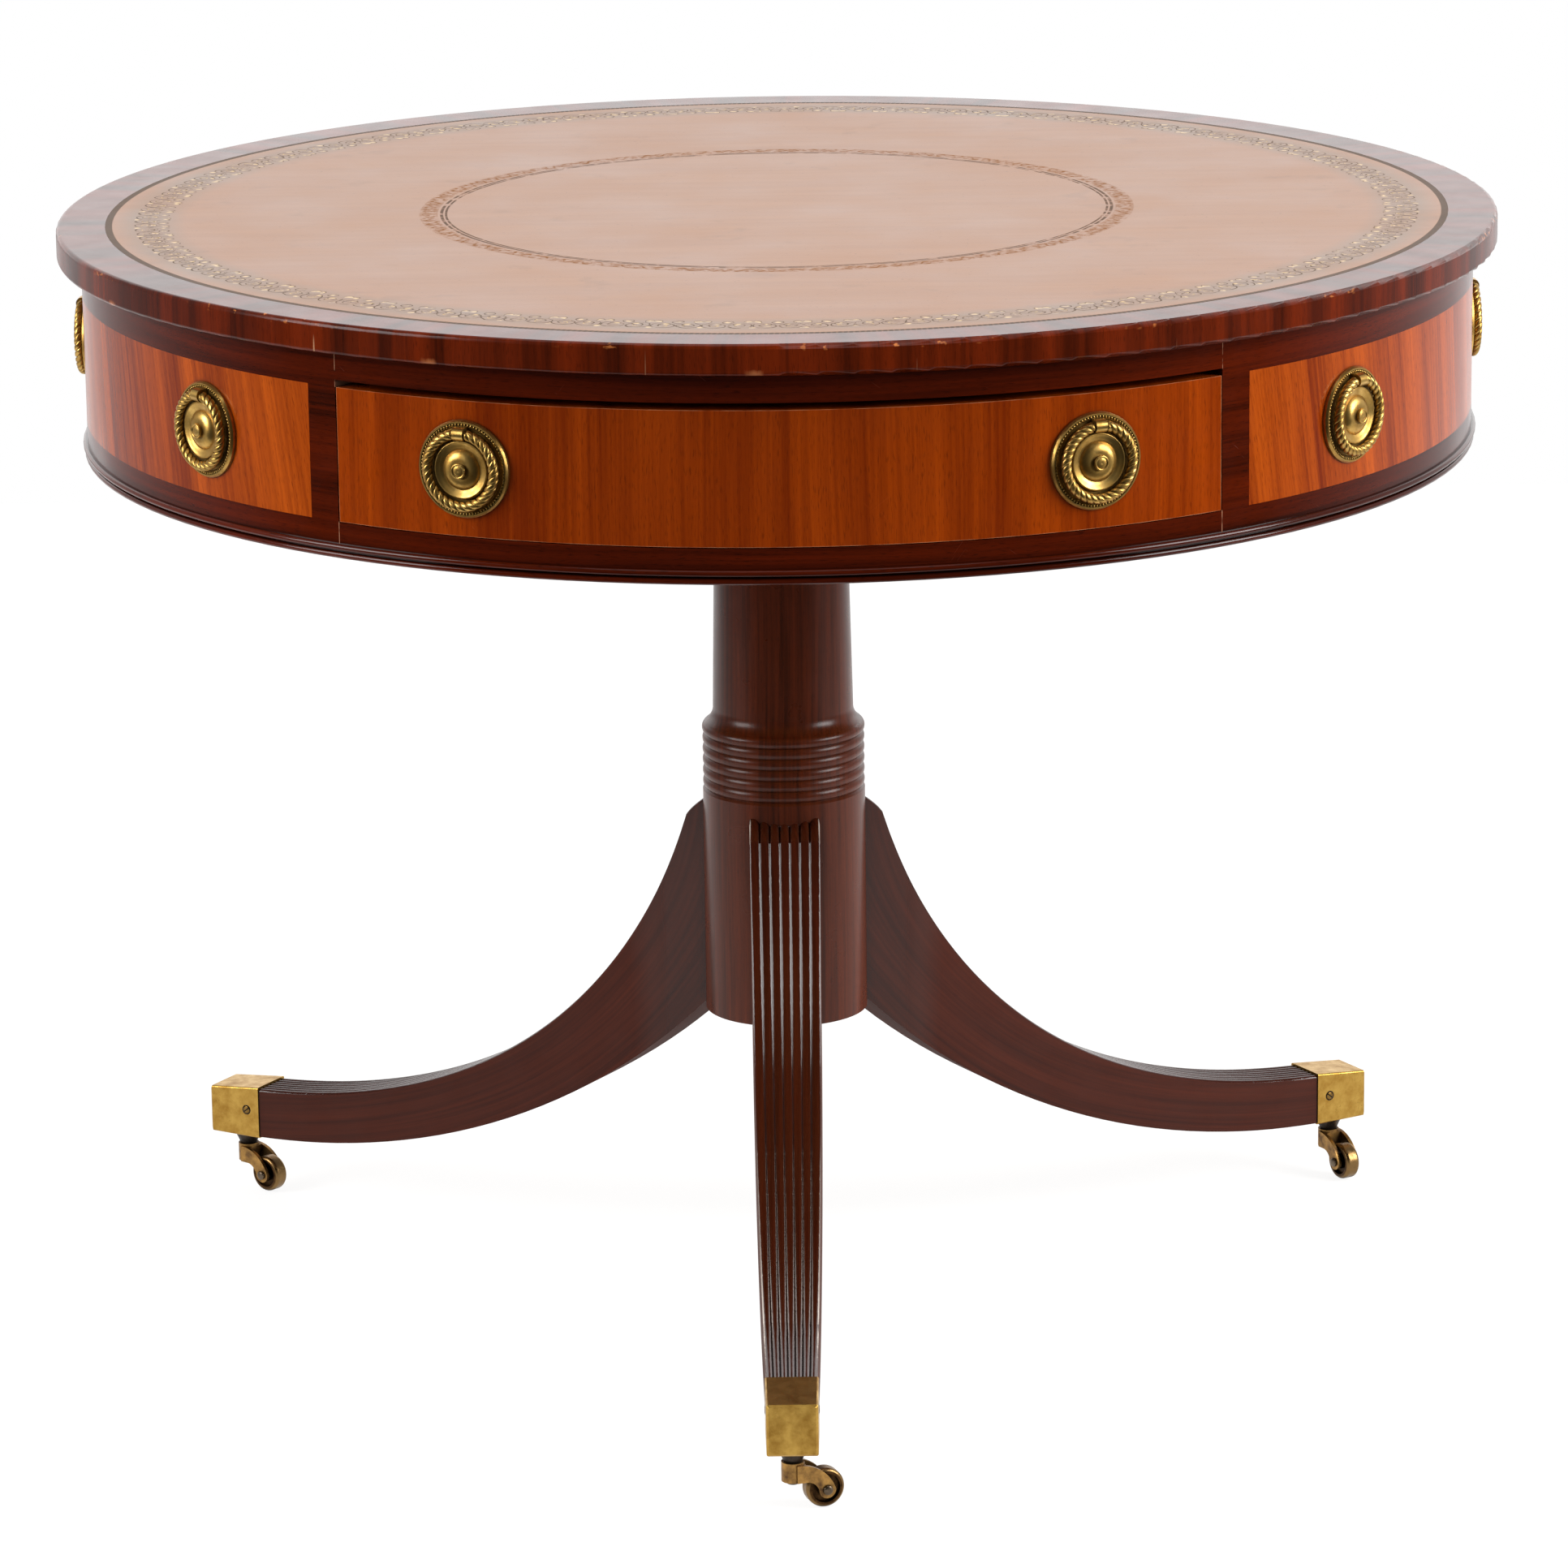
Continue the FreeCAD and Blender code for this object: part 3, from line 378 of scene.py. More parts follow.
def make_scratches():
    """Sparse straight scratches in two directions, in patches."""
    names = ("Across", "Along", "Seed")
    group, fields, sink = new_group("old_scratches", names, ("Scratches",))
    across, along, seed = (fields[name] for name in names)
    slant = across * 0.8 + along * 0.6
    cross_slant = along * 0.8 - across * 0.6
    patches = noise(group, combine(group, across * 26.0, along * 26.0, seed + 3.0), 1.0)
    long_ones = noise(group, combine(group, slant * 26.0, cross_slant * 900.0, seed), 1.0)
    short_ones = noise(group, combine(group, slant * 1300.0, cross_slant * 90.0, seed + 7.0), 0.0)
    scratches = long_ones.between(0.7, 0.76).most(short_ones.between(0.74, 0.8))
    plug(group, sink.inputs["Scratches"], scratches * patches.between(0.56, 0.66))
    return group


def make_recess():
    """How deep in a corner or groove a point lies, 0 in the open."""
    group, fields, sink = new_group("recess", ("Distance",), ("Recess",))
    shade = add_node(group, "ShaderNodeAmbientOcclusion", {"Distance": fields["Distance"]}, samples=6)
    plug(group, sink.inputs["Recess"], Field(group, shade.outputs["AO"]).inverse().between(0.1, 0.6))
    return group


def make_edge_wear():
    """1 along edges that hands and cloths rub."""
    group, fields, sink = new_group("edge_wear", ("Radius",), ("Wear",))
    rounded = add_node(group, "ShaderNodeBevel", {"Radius": fields["Radius"]}, samples=4).outputs[0]
    sharp = add_node(group, "ShaderNodeNewGeometry").outputs["Normal"]
    match = add_node(group, "ShaderNodeVectorMath", operation="DOT_PRODUCT")
    plug(group, match.inputs[0], rounded)
    plug(group, match.inputs[1], sharp)
    plug(group, sink.inputs["Wear"], Field(group, match.outputs["Value"]).between(0.99, 0.88))
    return group


unrolled = make_unrolled()
wood_grain = make_wood_grain()
old_scratches = make_scratches()
recess = make_recess()
edge_wear = make_edge_wear()


# Finishes.

def lacquered_wood(name, lay, colours, seed, pores, scratches, grime_and_shade, roughness, shine=0.25, relief=0.06,
                   figure=0.62, extra=None, deepest=1.0, satin=None):
    """Wood under lacquer.

    lay turns a place into the across, along and depth of the grain. figure weighs its stripes against its
    fibres. The grime and shade distance is how far grime and painted shade reach into a corner, and
    deepest the recess at which they are darkest. extra paints damage over the colour, and satin gives the
    parts that are duller than the rest, while the parts outside it get painted shade.
    """
    material, tree, shader = new_material(name)
    place = use_group(tree, unrolled)
    across, along, depth = lay(place)
    grain = use_group(tree, wood_grain, Across=across, Along=along, Depth=depth, Seed=seed)
    marks = use_group(tree, old_scratches, Across=across, Along=along, Seed=seed)["Scratches"]
    corner = use_group(tree, recess, Distance=grime_and_shade)["Recess"].between(0.0, deepest)
    tone = grain["Stripes"] * figure + grain["Fibres"] * (1 - figure)
    colour = blend(tree, tone, colours["dark"], colours["light"])
    colour = blend(tree, grain["Pores"] * pores, colour, colours["pore_and_shade"])
    colour = blend(tree, marks * scratches, colour, colours["light"])
    # Corners and grooves darken towards the pore colour: grime and painted shade.
    colour = blend(tree, corner * 0.85, colour, colours["pore_and_shade"])
    if extra:
        colour = extra(tree, place, colour)
    gloss = noise(tree, combine(tree, across * 40.0, along * 40.0, seed), 3.0)
    dullness = gloss * 0.12 + marks * (scratches * 0.5) + (roughness - 0.04)
    if satin:
        unpolished = satin(tree, place)
        dullness = dullness + unpolished * 0.7
        # Painted shade: the reeded faces, outside the duller parts, are darkened towards the pore colour.
        colour = blend(tree, unpolished.inverse() * 0.3, colour, colours["pore_and_shade"])
    plug(tree, shader.inputs["Base Color"], colour)
    plug(tree, shader.inputs["Roughness"], dullness)
    height = grain["Fibres"] * 0.3 - grain["Pores"] * pores - marks * scratches
    plug(tree, shader.inputs["Normal"], bump(tree, height, 0.0001, relief))
    shader.inputs["Specular IOR Level"].default_value = shine
    return material


def rim_damage(tree, place, colour):
    """Hairline cracks up the rim, bare chips along its lower edge and rubbed specks along its upper."""
    arc, height, reach = place["Arc"], place["Height"], place["Reach"]
    side = reach.between(RIM_RADIUS - 0.0025, RIM_RADIUS - 0.0015)
    splits = noise(tree, combine(tree, arc * 300.0, height * 9.0, 4.0), 1.0).between(0.72, 0.76)
    groups = noise(tree, combine(tree, arc * 7.0, 2.0, 9.0), 0.0).between(0.5, 0.62)
    colour = blend(tree, splits * groups * side * 0.8, colour, CRACKED_LACQUER)
    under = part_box("top_board")[0].z
    ragged = noise(tree, combine(tree, arc * 420.0, 5.0, 1.0), 3.0, 0.7) * TALLEST_CHIP
    chips = noise(tree, combine(tree, arc * 24.0, 3.0, 6.0), 1.0).between(0.66, 0.7)
    low = (height - under - ragged).between(0.0015, -0.001)
    colour = blend(tree, chips * low * side * 0.7, colour, CHIPPED_WOOD)
    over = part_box("top_board")[1].z
    specks = noise(tree, combine(tree, arc * 150.0, height * 260.0, 2.0), 2.0).between(0.6, 0.68)
    outer = reach.between(RIM_RADIUS - 0.004, RIM_RADIUS - 0.002)
    arris = height.between(over - 0.0045, over - 0.0025) * outer
    return blend(tree, specks * arris * groups * 0.8, colour, RUBBED_RIM)


def rail_joints(tree, place, colour):
    """Fine light cracks where the rails butt against the sections beside the drawer."""
    low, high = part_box("drawer_front")
    beside_drawer = (place["Height"] > low.z) * (place["Height"] < high.z)
    seam = abs(place["Angle"]).line(DRAWER_HALF_ANGLE, OPEN_JOINT_HALF_ANGLE) * beside_drawer.inverse()
    broken = noise(tree, combine(tree, place["Height"] * 90.0, place["Angle"] * 2.0, 8.0), 2.0)
    return blend(tree, seam * broken.between(0.4, 0.5) * 0.75, colour, OPEN_JOINT)


def worn_arris(tree, place, colour):
    """Pale bare wood along the drawer's sharp edges."""
    worn = use_group(tree, edge_wear, Radius=0.0008)["Wear"]
    broken = noise(tree, combine(tree, place["Arc"] * 60.0, place["Height"] * 60.0, 3.0), 2.0)
    return blend(tree, worn * broken.between(0.3, 0.6) * 0.7, colour, RUBBED_DRAWER)


def unreeded(tree, place):
    """1 on the flat sides and the underside of a leg, which never got the polish of its reeds."""
    normal = add_node(tree, "ShaderNodeTexCoord").outputs["Normal"]
    parts = add_node(tree, "ShaderNodeSeparateXYZ", {"Vector": normal})
    across, deep, upwards = (Field(tree, socket) for socket in parts.outputs)
    sideways = across * place["Angle"].maths("COSINE") + deep * place["Angle"].maths("SINE")
    # Where this is 0, on the reeds, the leg's colour is darkened as painted shade.
    return abs(sideways).between(0.955, 0.975).most(upwards.between(-0.02, -0.1))


def make_woods():
    """Every wooden finish, by name."""

    def upright(place):
        return place["Arc"], place["Height"], place["Reach"]

    def crossbanded(place):
        round_rim = place["Angle"] * RIM_RADIUS
        return round_rim, place["Height"] + place["Reach"], round_rim

    def level(place):
        return place["Height"] + place["Reach"], place["Arc"], place["Reach"]

    def slanting(place):
        return place["Arc"] + place["Height"] * 0.16, place["Height"], place["Reach"]

    def swept(place):
        leg_apart = math.tau / len(LEG_HEADINGS)
        off_leg = ((place["Angle"] + math.pi) % leg_apart - leg_apart / 2) * place["Reach"]
        run = (place["Reach"] - SWEEP_CENTRE_REACH) / SWEEP_REACH
        rise = (place["Height"] - SWEEP_CENTRE_HEIGHT) / SWEEP_RISE
        out = (run * run + rise * rise) ** 0.5
        return out * SWEEP_RISE + off_leg, rise.maths("ARCTAN2", run) * SWEEP_RISE, off_leg

    def front_to_back(place):
        return place["Across"] + place["Height"], place["Deep"], place["Height"]

    def side_to_side(place):
        return place["Deep"] + place["Height"], place["Across"], place["Height"]

    return {
        "rim": lacquered_wood("mahogany_rim", crossbanded, RIM_MAHOGANY, seed=1.0, pores=0.4,
                              scratches=0.05, grime_and_shade=0.004, roughness=0.2, shine=0.16, relief=0.02,
                              figure=0.75, extra=rim_damage),
        "rail": lacquered_wood("mahogany_rail", level, MAHOGANY, seed=2.0, pores=0.5, scratches=0.25,
                               grime_and_shade=0.006, roughness=0.14, extra=rail_joints),
        "moulding": lacquered_wood("mahogany_moulding", level, MAHOGANY, seed=3.0, pores=0.4, scratches=0.2,
                                   grime_and_shade=0.007, roughness=0.14),
        "turned": lacquered_wood("mahogany_column", upright, COLUMN_MAHOGANY, seed=4.0, pores=0.3,
                                 scratches=0.0, grime_and_shade=0.02, roughness=0.27, relief=0.1, figure=0.4),
        "leg": lacquered_wood("mahogany_leg", swept, LEG_MAHOGANY, seed=5.0, pores=0.12, scratches=0.0,
                              grime_and_shade=0.012, roughness=0.13, shine=0.3, figure=0.35, deepest=0.5,
                              satin=unreeded),
        "drawer": lacquered_wood("drawer_veneer", upright, VENEER, seed=6.0, pores=0.45, scratches=0.2,
                                 grime_and_shade=0.004, roughness=0.14, extra=worn_arris),
        "dummy": lacquered_wood("dummy_veneer", slanting, DUMMY_VENEER, seed=11.0, pores=0.45,
                                scratches=0.15, grime_and_shade=0.004, roughness=0.14),
        "inner": lacquered_wood("inner_wood", front_to_back, INNER_WOOD, seed=8.0, pores=0.6, scratches=0.3,
                                grime_and_shade=0.02, roughness=0.5),
        "inner_cross": lacquered_wood("inner_wood_cross", side_to_side, INNER_WOOD, seed=8.0, pores=0.6,
                                      scratches=0.3, grime_and_shade=0.02, roughness=0.5),
    }


def make_leather():
    """Tan leather, greyed along its gilt-tooled borders, with faint streaks and stains."""
    material, tree, shader = new_material("tooled_leather")
    place = use_group(tree, unrolled)
    angle, reach = place["Angle"], place["Reach"]
    spot = add_node(tree, "ShaderNodeTexCoord").outputs["Object"]
    outer = use_group(tree, make_outer_tooling(), Angle=angle, Reach=reach)
    inner = use_group(tree, make_inner_tooling(), Angle=angle, Reach=reach)
    gilt = outer["Gilt"].most(inner["Gilt"])
    inked = (outer["Ink"] * 0.9).most(inner["Ink"])
    mottle = cloud(tree, spot, (9.0, 9.0, 9.0), 5.0, 0.3, 0.7)
    streaks = cloud(tree, spot, (7.0, 90.0, 1.0), 4.0, 0.35, 0.65)
    stains = cloud(tree, spot, (23.0, 23.0, 23.0), 3.0, 0.62, 0.72)
    specks = cloud(tree, spot, (420.0, 420.0, 1.0), 1.0, 0.72, 0.76)
    worn_gold = cloud(tree, spot, (190.0, 190.0, 190.0), 2.0, 0.4, 0.56)
    worn_ink = cloud(tree, spot, (120.0, 120.0, 120.0), 2.0, 0.34, 0.5)
    colour = blend(tree, mottle * 0.7 + streaks * 0.3, LEATHER["dark"], LEATHER["light"])
    colour = blend(tree, stains * 0.2, colour, LEATHER["stain"])
    colour = blend(tree, specks * 0.5, colour, LEATHER["stain"])
    shaded = reach.between(*GREYED_FROM) * reach.between(*GREYED_TO) * (mottle.inverse() * 0.5 + 0.5)
    colour = blend(tree, shaded * 0.65, colour, LEATHER["greyed"])
    colour = blend(tree, inked * worn_ink * 0.8, colour, LEATHER["ink"])
    colour = blend(tree, outer["Edge"] * 0.85, colour, LEATHER["edge"])
    gold = gilt * worn_gold
    colour = blend(tree, outer["Gilt"] * worn_gold * 0.9, colour, LEATHER["outer_gilt"])
    colour = blend(tree, inner["Gilt"] * worn_gold * 0.85, colour, LEATHER["inner_gilt"])
    cells = add_node(tree, "ShaderNodeTexVoronoi", {"Vector": spot, "Scale": 850.0}).outputs["Distance"]
    pressed = gilt.most(inked).most(outer["Edge"])
    relief = Field(tree, cells) * 0.35 - pressed + mottle * 0.3
    plug(tree, shader.inputs["Base Color"], colour)
    plug(tree, shader.inputs["Metallic"], gold * 0.25)
    dulled = (inked * worn_ink).most(inner["Gilt"] * worn_gold).most(outer["Edge"] * 0.7)
    plug(tree, shader.inputs["Roughness"], mottle * 0.1 + 0.36 + dulled * 0.45)
    plug(tree, shader.inputs["Normal"], bump(tree, relief, 0.00018, 0.6))
    shader.inputs["Specular IOR Level"].default_value = 0.5
    return material


def make_outer_tooling():
    """A band of scrolls and leaves, and a dark roped line at the leather's edge."""
    group, fields, sink = new_group("outer_tooling", ("Angle", "Reach"), ("Gilt", "Ink", "Edge"))
    cell = math.tau / OUTER_TOOL_REPEATS
    turns = fields["Angle"] + math.pi
    wander = noise(group, combine(group, turns * 60.0, fields["Reach"] * 150.0, 3.0), 2.0)
    wobble = wander * TOOL_WOBBLE - TOOL_WOBBLE / 2
    across = abs(turns % cell - cell / 2) * (OUTER_TOOL_RADIUS / OUTER_TOOL_UNIT) + wobble
    outwards = (fields["Reach"] - OUTER_TOOL_RADIUS) / OUTER_TOOL_UNIT + wobble
    half_cell = cell / 2 * OUTER_TOOL_RADIUS / OUTER_TOOL_UNIT

    def around(x, y):
        side = across - x
        up = outwards - y
        return (side * side + up * up) ** 0.5, up.maths("ARCTAN2", side)

    far, bearing = around(half_cell * 0.55, 3.0)
    coil = (far - bearing * (VOLUTE_PITCH / math.tau)) % VOLUTE_PITCH
    volute = coil.line(VOLUTE_PITCH / 2, TOOL_LINE_HALF_WIDTH) * (far < VOLUTE_RADIUS)
    leaf_far, leaf_bearing = around(0.0, -1.0)
    petals = abs((leaf_bearing * 2.5).maths("COSINE"))
    leaf_edge = leaf_far - petals * 9.0 - 3.0
    leaf = leaf_edge.line(0.0, TOOL_LINE_HALF_WIDTH) * (outwards < 2.0)
    bud_far, _ = around(half_cell, -8.0)
    bud_edge = bud_far.line(3.6, 0.5)
    bud = bud_far.between(2.4, 1.6)
    berry_far, _ = around(0.0, 9.0)
    berry = berry_far.between(2.6, 1.8)
    tips = leaf_edge.between(0.0, -1.0) * leaf_far.between(7.0, 8.5) * (outwards < 0.0)
    gilt = bud.most(berry).most(tips).most(volute * (far < VOLUTE_GILT_RADIUS))
    band = abs(outwards).between(OUTER_BAND_HALF_WIDTH, OUTER_BAND_HALF_WIDTH - 1.0)
    rope = ((turns + outwards * 0.0003) % ROPE_PITCH) > ROPE_GAP
    edge_start = LEATHER_RADIUS - EDGE_LINE_INSET
    edge = fields["Reach"].between(edge_start, edge_start + EDGE_LINE_SOFTNESS)
    plug(group, sink.inputs["Gilt"], gilt * band)
    plug(group, sink.inputs["Ink"], volute.most(leaf).most(bud_edge) * band)
    plug(group, sink.inputs["Edge"], edge * (rope * 0.3 + 0.7))
    return group


def make_inner_tooling():
    """A narrow running scroll round a plain disc edged by two dark lines."""
    group, fields, sink = new_group("inner_tooling", ("Angle", "Reach"), ("Gilt", "Ink"))
    phase = (fields["Angle"] + math.pi) * INNER_TOOL_REPEATS
    outwards = (fields["Reach"] - INNER_TOOL_RADIUS) * MM_PER_METRE
    swing = phase.maths("SINE")
    wave = (outwards - swing * 3.4).line(0.0, 1.9)
    leaves = (outwards + swing * 3.6).line(0.0, 1.5) * abs(swing).between(0.6, 0.8)
    band = abs(outwards).between(INNER_BAND_HALF_WIDTH, INNER_BAND_HALF_WIDTH - 0.6)
    first, second = (fields["Reach"].line(line["radius"], line["half_width"]) for line in INNER_LINES)
    plug(group, sink.inputs["Gilt"], wave.most(leaves).most(0.35) * band)
    plug(group, sink.inputs["Ink"], first.most(second))
    return group


def old_metal(name, bright, dull, patina, grime_and_shade, seed, roughness=0.34, wear=0.5, pitting=0.5):
    """Old metal: dark in its recesses, rubbed bright on its edges, with pits and spots."""
    material, tree, shader = new_material(name)
    spot = add_node(tree, "ShaderNodeTexCoord").outputs["Object"]
    corner = use_group(tree, recess, Distance=grime_and_shade)["Recess"]
    rubbed = use_group(tree, edge_wear, Radius=0.0006)["Wear"]
    shift = (seed, seed, 0)
    tarnish = cloud(tree, spot, (120.0, 120.0, 120.0), 5.0, 0.35, 0.7, shift)
    pit_patches = cloud(tree, spot, (60.0, 60.0, 60.0), 2.0, 0.45, 0.6, shift)
    pits = cloud(tree, spot, (900.0, 900.0, 900.0), 1.0, 0.62, 0.72, shift) * pit_patches
    colour = blend(tree, tarnish, bright, dull)
    colour = blend(tree, pits * pitting, colour, patina)
    colour = blend(tree, corner * 0.7, colour, patina)
    colour = blend(tree, rubbed * wear, colour, bright)
    plug(tree, shader.inputs["Base Color"], colour)
    plug(tree, shader.inputs["Roughness"], tarnish * 0.16 + corner * 0.25 + (roughness - 0.05))
    plug(tree, shader.inputs["Normal"], bump(tree, tarnish * 0.5 - pits * pitting, 0.00012, 0.5))
    shader.inputs["Metallic"].default_value = 1.0
    return material


def make_metals():
    """Every metal finish, by name."""
    return {
        "pull": old_metal("antique_brass", linear(214, 174, 98), linear(164, 124, 58), linear(58, 36, 10),
                          grime_and_shade=0.003, seed=1.0, pitting=0.2),
        "cap": old_metal("cap_brass", linear(190, 152, 76), linear(158, 118, 50), linear(84, 60, 26),
                         grime_and_shade=0.003, seed=4.0, wear=0.4, pitting=0.35),
        "horn": old_metal("caster_brass", linear(176, 134, 74), linear(88, 64, 44), linear(38, 26, 18),
                          grime_and_shade=0.008, seed=7.0, wear=0.7, pitting=0.4),
        "iron": old_metal("blackened_iron", linear(74, 64, 56), linear(44, 38, 34), linear(20, 17, 15),
                          grime_and_shade=0.006, seed=2.0, roughness=0.42, wear=0.4),
        "steel": old_metal("old_steel", linear(112, 98, 82), linear(72, 60, 48), linear(34, 28, 22),
                           grime_and_shade=0.002, seed=3.0),
        "screw": old_metal("screw_brass", linear(150, 116, 60), linear(92, 68, 34), linear(34, 24, 12),
                           grime_and_shade=0.0012, seed=5.0, wear=0.3),
    }


def make_wheel_bronze(name, centre, tread_radius):
    """Dark bronze whose tread has been rolled bright."""
    material, tree, shader = new_material(name)
    spot = add_node(tree, "ShaderNodeTexCoord").outputs["Object"]
    away = add_node(tree, "ShaderNodeVectorMath", operation="DISTANCE")
    plug(tree, away.inputs[0], spot)
    away.inputs[1].default_value = centre
    tread = Field(tree, away.outputs["Value"]).between(tread_radius - 0.0009, tread_radius - 0.0002)
    blotches = cloud(tree, spot, (260.0, 260.0, 260.0), 4.0, 0.35, 0.68, roughness=0.65)
    corner = use_group(tree, recess, Distance=0.005)["Recess"]
    colour = blend(tree, blotches, WHEEL_BRONZE["light"], WHEEL_BRONZE["dark"])
    colour = blend(tree, tread * 0.5, colour, WHEEL_BRONZE["tread"])
    # Recesses darken towards the grime colour: grime and painted shade.
    colour = blend(tree, corner * 0.8, colour, WHEEL_BRONZE["grime_and_shade"])
    plug(tree, shader.inputs["Base Color"], colour)
    plug(tree, shader.inputs["Roughness"], blotches * 0.2 + 0.26)
    plug(tree, shader.inputs["Normal"], bump(tree, blotches, 0.0001, 0.4))
    shader.inputs["Metallic"].default_value = 1.0
    return material


# Pieces that the photograph shows and the solids leave plain.

def finish_piece(name, mesh_tool, material, body):
    """Turn a bmesh into a smooth-shaded piece that rides on a body."""
    bmesh.ops.recalc_face_normals(mesh_tool, faces=mesh_tool.faces)
    mesh = bpy.data.meshes.new(name)
    mesh_tool.to_mesh(mesh)
    mesh_tool.free()
    for face in mesh.polygons:
        face.use_smooth = True
    mesh.materials.append(material)
    piece = bpy.data.objects.new(name, mesh)
    bpy.context.scene.collection.objects.link(piece)
    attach(piece, body)
    return piece


def facing(outward, place):
    """A matrix that stands a piece at a place with its own X pointing outward and its Z up."""
    x_axis = Vector(outward).normalized()
    z_axis = Vector((0, 0, 1))
    y_axis = z_axis.cross(x_axis)
    turn = Matrix((x_axis, y_axis, z_axis)).transposed()
    return Matrix.Translation(Vector(place)) @ turn.to_4x4()


def rope_ring():
    """A ring of twisted strands round X, open at its top round the pin that it hangs by."""
    tool = bmesh.new()
    section = bmesh.ops.create_circle(tool, segments=RING_SECTION_POINTS, radius=RING_WIRE_RADIUS)["verts"]
    for vertex in section:
        lobe = abs(math.cos(math.atan2(vertex.co.y, vertex.co.x) * RING_STRANDS / 2))
        vertex.co *= 1 - RING_STRAND_DEPTH_SHARE * (1 - lobe) ** 3
    # The section stands at the ring's top. It is swept round the ring's axis, X, and twists on its way.
    bmesh.ops.rotate(tool, verts=section, cent=(0, 0, 0), matrix=Matrix.Rotation(math.pi / 2, 3, "X"))
    bmesh.ops.translate(tool, verts=section, vec=(0, 0, RING_RADIUS))
    first_turn = Matrix.Rotation(RING_GAP_HALF_ANGLE, 3, "X")
    bmesh.ops.rotate(tool, verts=section, cent=(0, 0, 0), matrix=first_turn)
    sweep = (math.tau - 2 * RING_GAP_HALF_ANGLE) / RING_STEPS
    twist = math.tau * RING_TURNS / RING_STEPS
    loop = list(tool.edges)
    start_loop = loop
    angle = RING_GAP_HALF_ANGLE
    for _ in range(RING_STEPS):
        made = bmesh.ops.extrude_edge_only(tool, edges=loop)["geom"]
        loop = [item for item in made if isinstance(item, bmesh.types.BMEdge)]
        points = [item for item in made if isinstance(item, bmesh.types.BMVert)]
        angle += sweep
        bmesh.ops.rotate(tool, verts=points, cent=(0, 0, 0), matrix=Matrix.Rotation(sweep, 3, "X"))
        middle = Vector((0, -math.sin(angle), math.cos(angle))) * RING_RADIUS
        line = Vector((0, -math.cos(angle), -math.sin(angle)))
        bmesh.ops.rotate(tool, verts=points, cent=middle, matrix=Matrix.Rotation(twist, 3, line))
    for end in (start_loop, loop):
        bmesh.ops.contextual_create(tool, geom=end)
    pin = bmesh.ops.create_cone(tool, cap_ends=True, segments=16, radius1=PIN_RADIUS, radius2=PIN_RADIUS,
                                depth=PIN_LENGTH)["verts"]
    bmesh.ops.rotate(tool, verts=pin, cent=(0, 0, 0), matrix=Matrix.Rotation(math.pi / 2, 3, "X"))
    bmesh.ops.translate(tool, verts=pin, vec=(0, 0, RING_RADIUS))
    mesh = bpy.data.meshes.new("rope_ring")
    tool.to_mesh(mesh)
    tool.free()
    return mesh


def pull_ornament():
    """What a backplate carries round X: beads, a raised ring on its boss and a rim on its button."""
    tool = bmesh.new()
    for profile in (BOSS_RING, BUTTON_RIM):
        points = [tool.verts.new((outward, 0, radius)) for outward, radius in profile]
        edges = [tool.edges.new(pair) for pair in zip(points, points[1:])]
        bmesh.ops.spin(tool, geom=points + edges, cent=(0, 0, 0), axis=(1, 0, 0), angle=math.tau,
                       steps=TURNING_STEPS, use_merge=True)
    for number in range(BEAD_COUNT):
        angle = math.tau * number / BEAD_COUNT
        spot = (BEAD_SEAT, math.cos(angle) * BEAD_CIRCLE_RADIUS, math.sin(angle) * BEAD_CIRCLE_RADIUS)
        bmesh.ops.create_uvsphere(tool, u_segments=8, v_segments=5, radius=BEAD_RADIUS,
                                  matrix=Matrix.Translation(spot))
    mesh = bpy.data.meshes.new("pull_ornament")
    tool.to_mesh(mesh)
    tool.free()
    return mesh


def placed_copies(mesh, stands):
    """One bmesh with a copy of a mesh at every stand."""
    tool = bmesh.new()
    for stand in stands:
        before = len(tool.verts)
        tool.from_mesh(mesh)
        tool.verts.ensure_lookup_table()
        bmesh.ops.transform(tool, matrix=stand, verts=tool.verts[before:])
    return tool


def cap_screw(tool, stand):
    """Slotted round head, as two raised halves."""
    new_verts = []
    for turn in (0, math.pi):
        half = bmesh.new()
        bmesh.ops.create_cone(half, cap_ends=True, segments=CAP_SCREW_SEGMENTS, radius1=CAP_SCREW_RADIUS,
                              radius2=CAP_SCREW_RADIUS * CAP_SCREW_TOP_SHARE, depth=CAP_SCREW_HEIGHT)
        head = half.verts[:] + half.edges[:] + half.faces[:]
        cut = bmesh.ops.bisect_plane(half, geom=head, plane_co=(0, CAP_SCREW_SLOT / 2, 0), plane_no=(0, 1, 0),
                                     clear_inner=True)["geom_cut"]
        slot_edges = [item for item in cut if isinstance(item, bmesh.types.BMEdge)]
        bmesh.ops.contextual_create(half, geom=slot_edges)
        bmesh.ops.rotate(half, verts=half.verts, cent=(0, 0, 0), matrix=Matrix.Rotation(turn, 3, "Z"))
        bmesh.ops.translate(half, verts=half.verts, vec=(0, 0, CAP_SCREW_HEIGHT))
        mesh = bpy.data.meshes.new("half_head")
        half.to_mesh(mesh)
        half.free()
        before = set(tool.verts)
        tool.from_mesh(mesh)
        bpy.data.meshes.remove(mesh)
        new_verts += [vertex for vertex in tool.verts if vertex not in before]
    bmesh.ops.transform(tool, matrix=stand, verts=new_verts)


def outward_of(joint):
    """Which way the front under a pull faces."""
    return Vector((0, 0, 1)).cross(Vector(joint["axis"]))


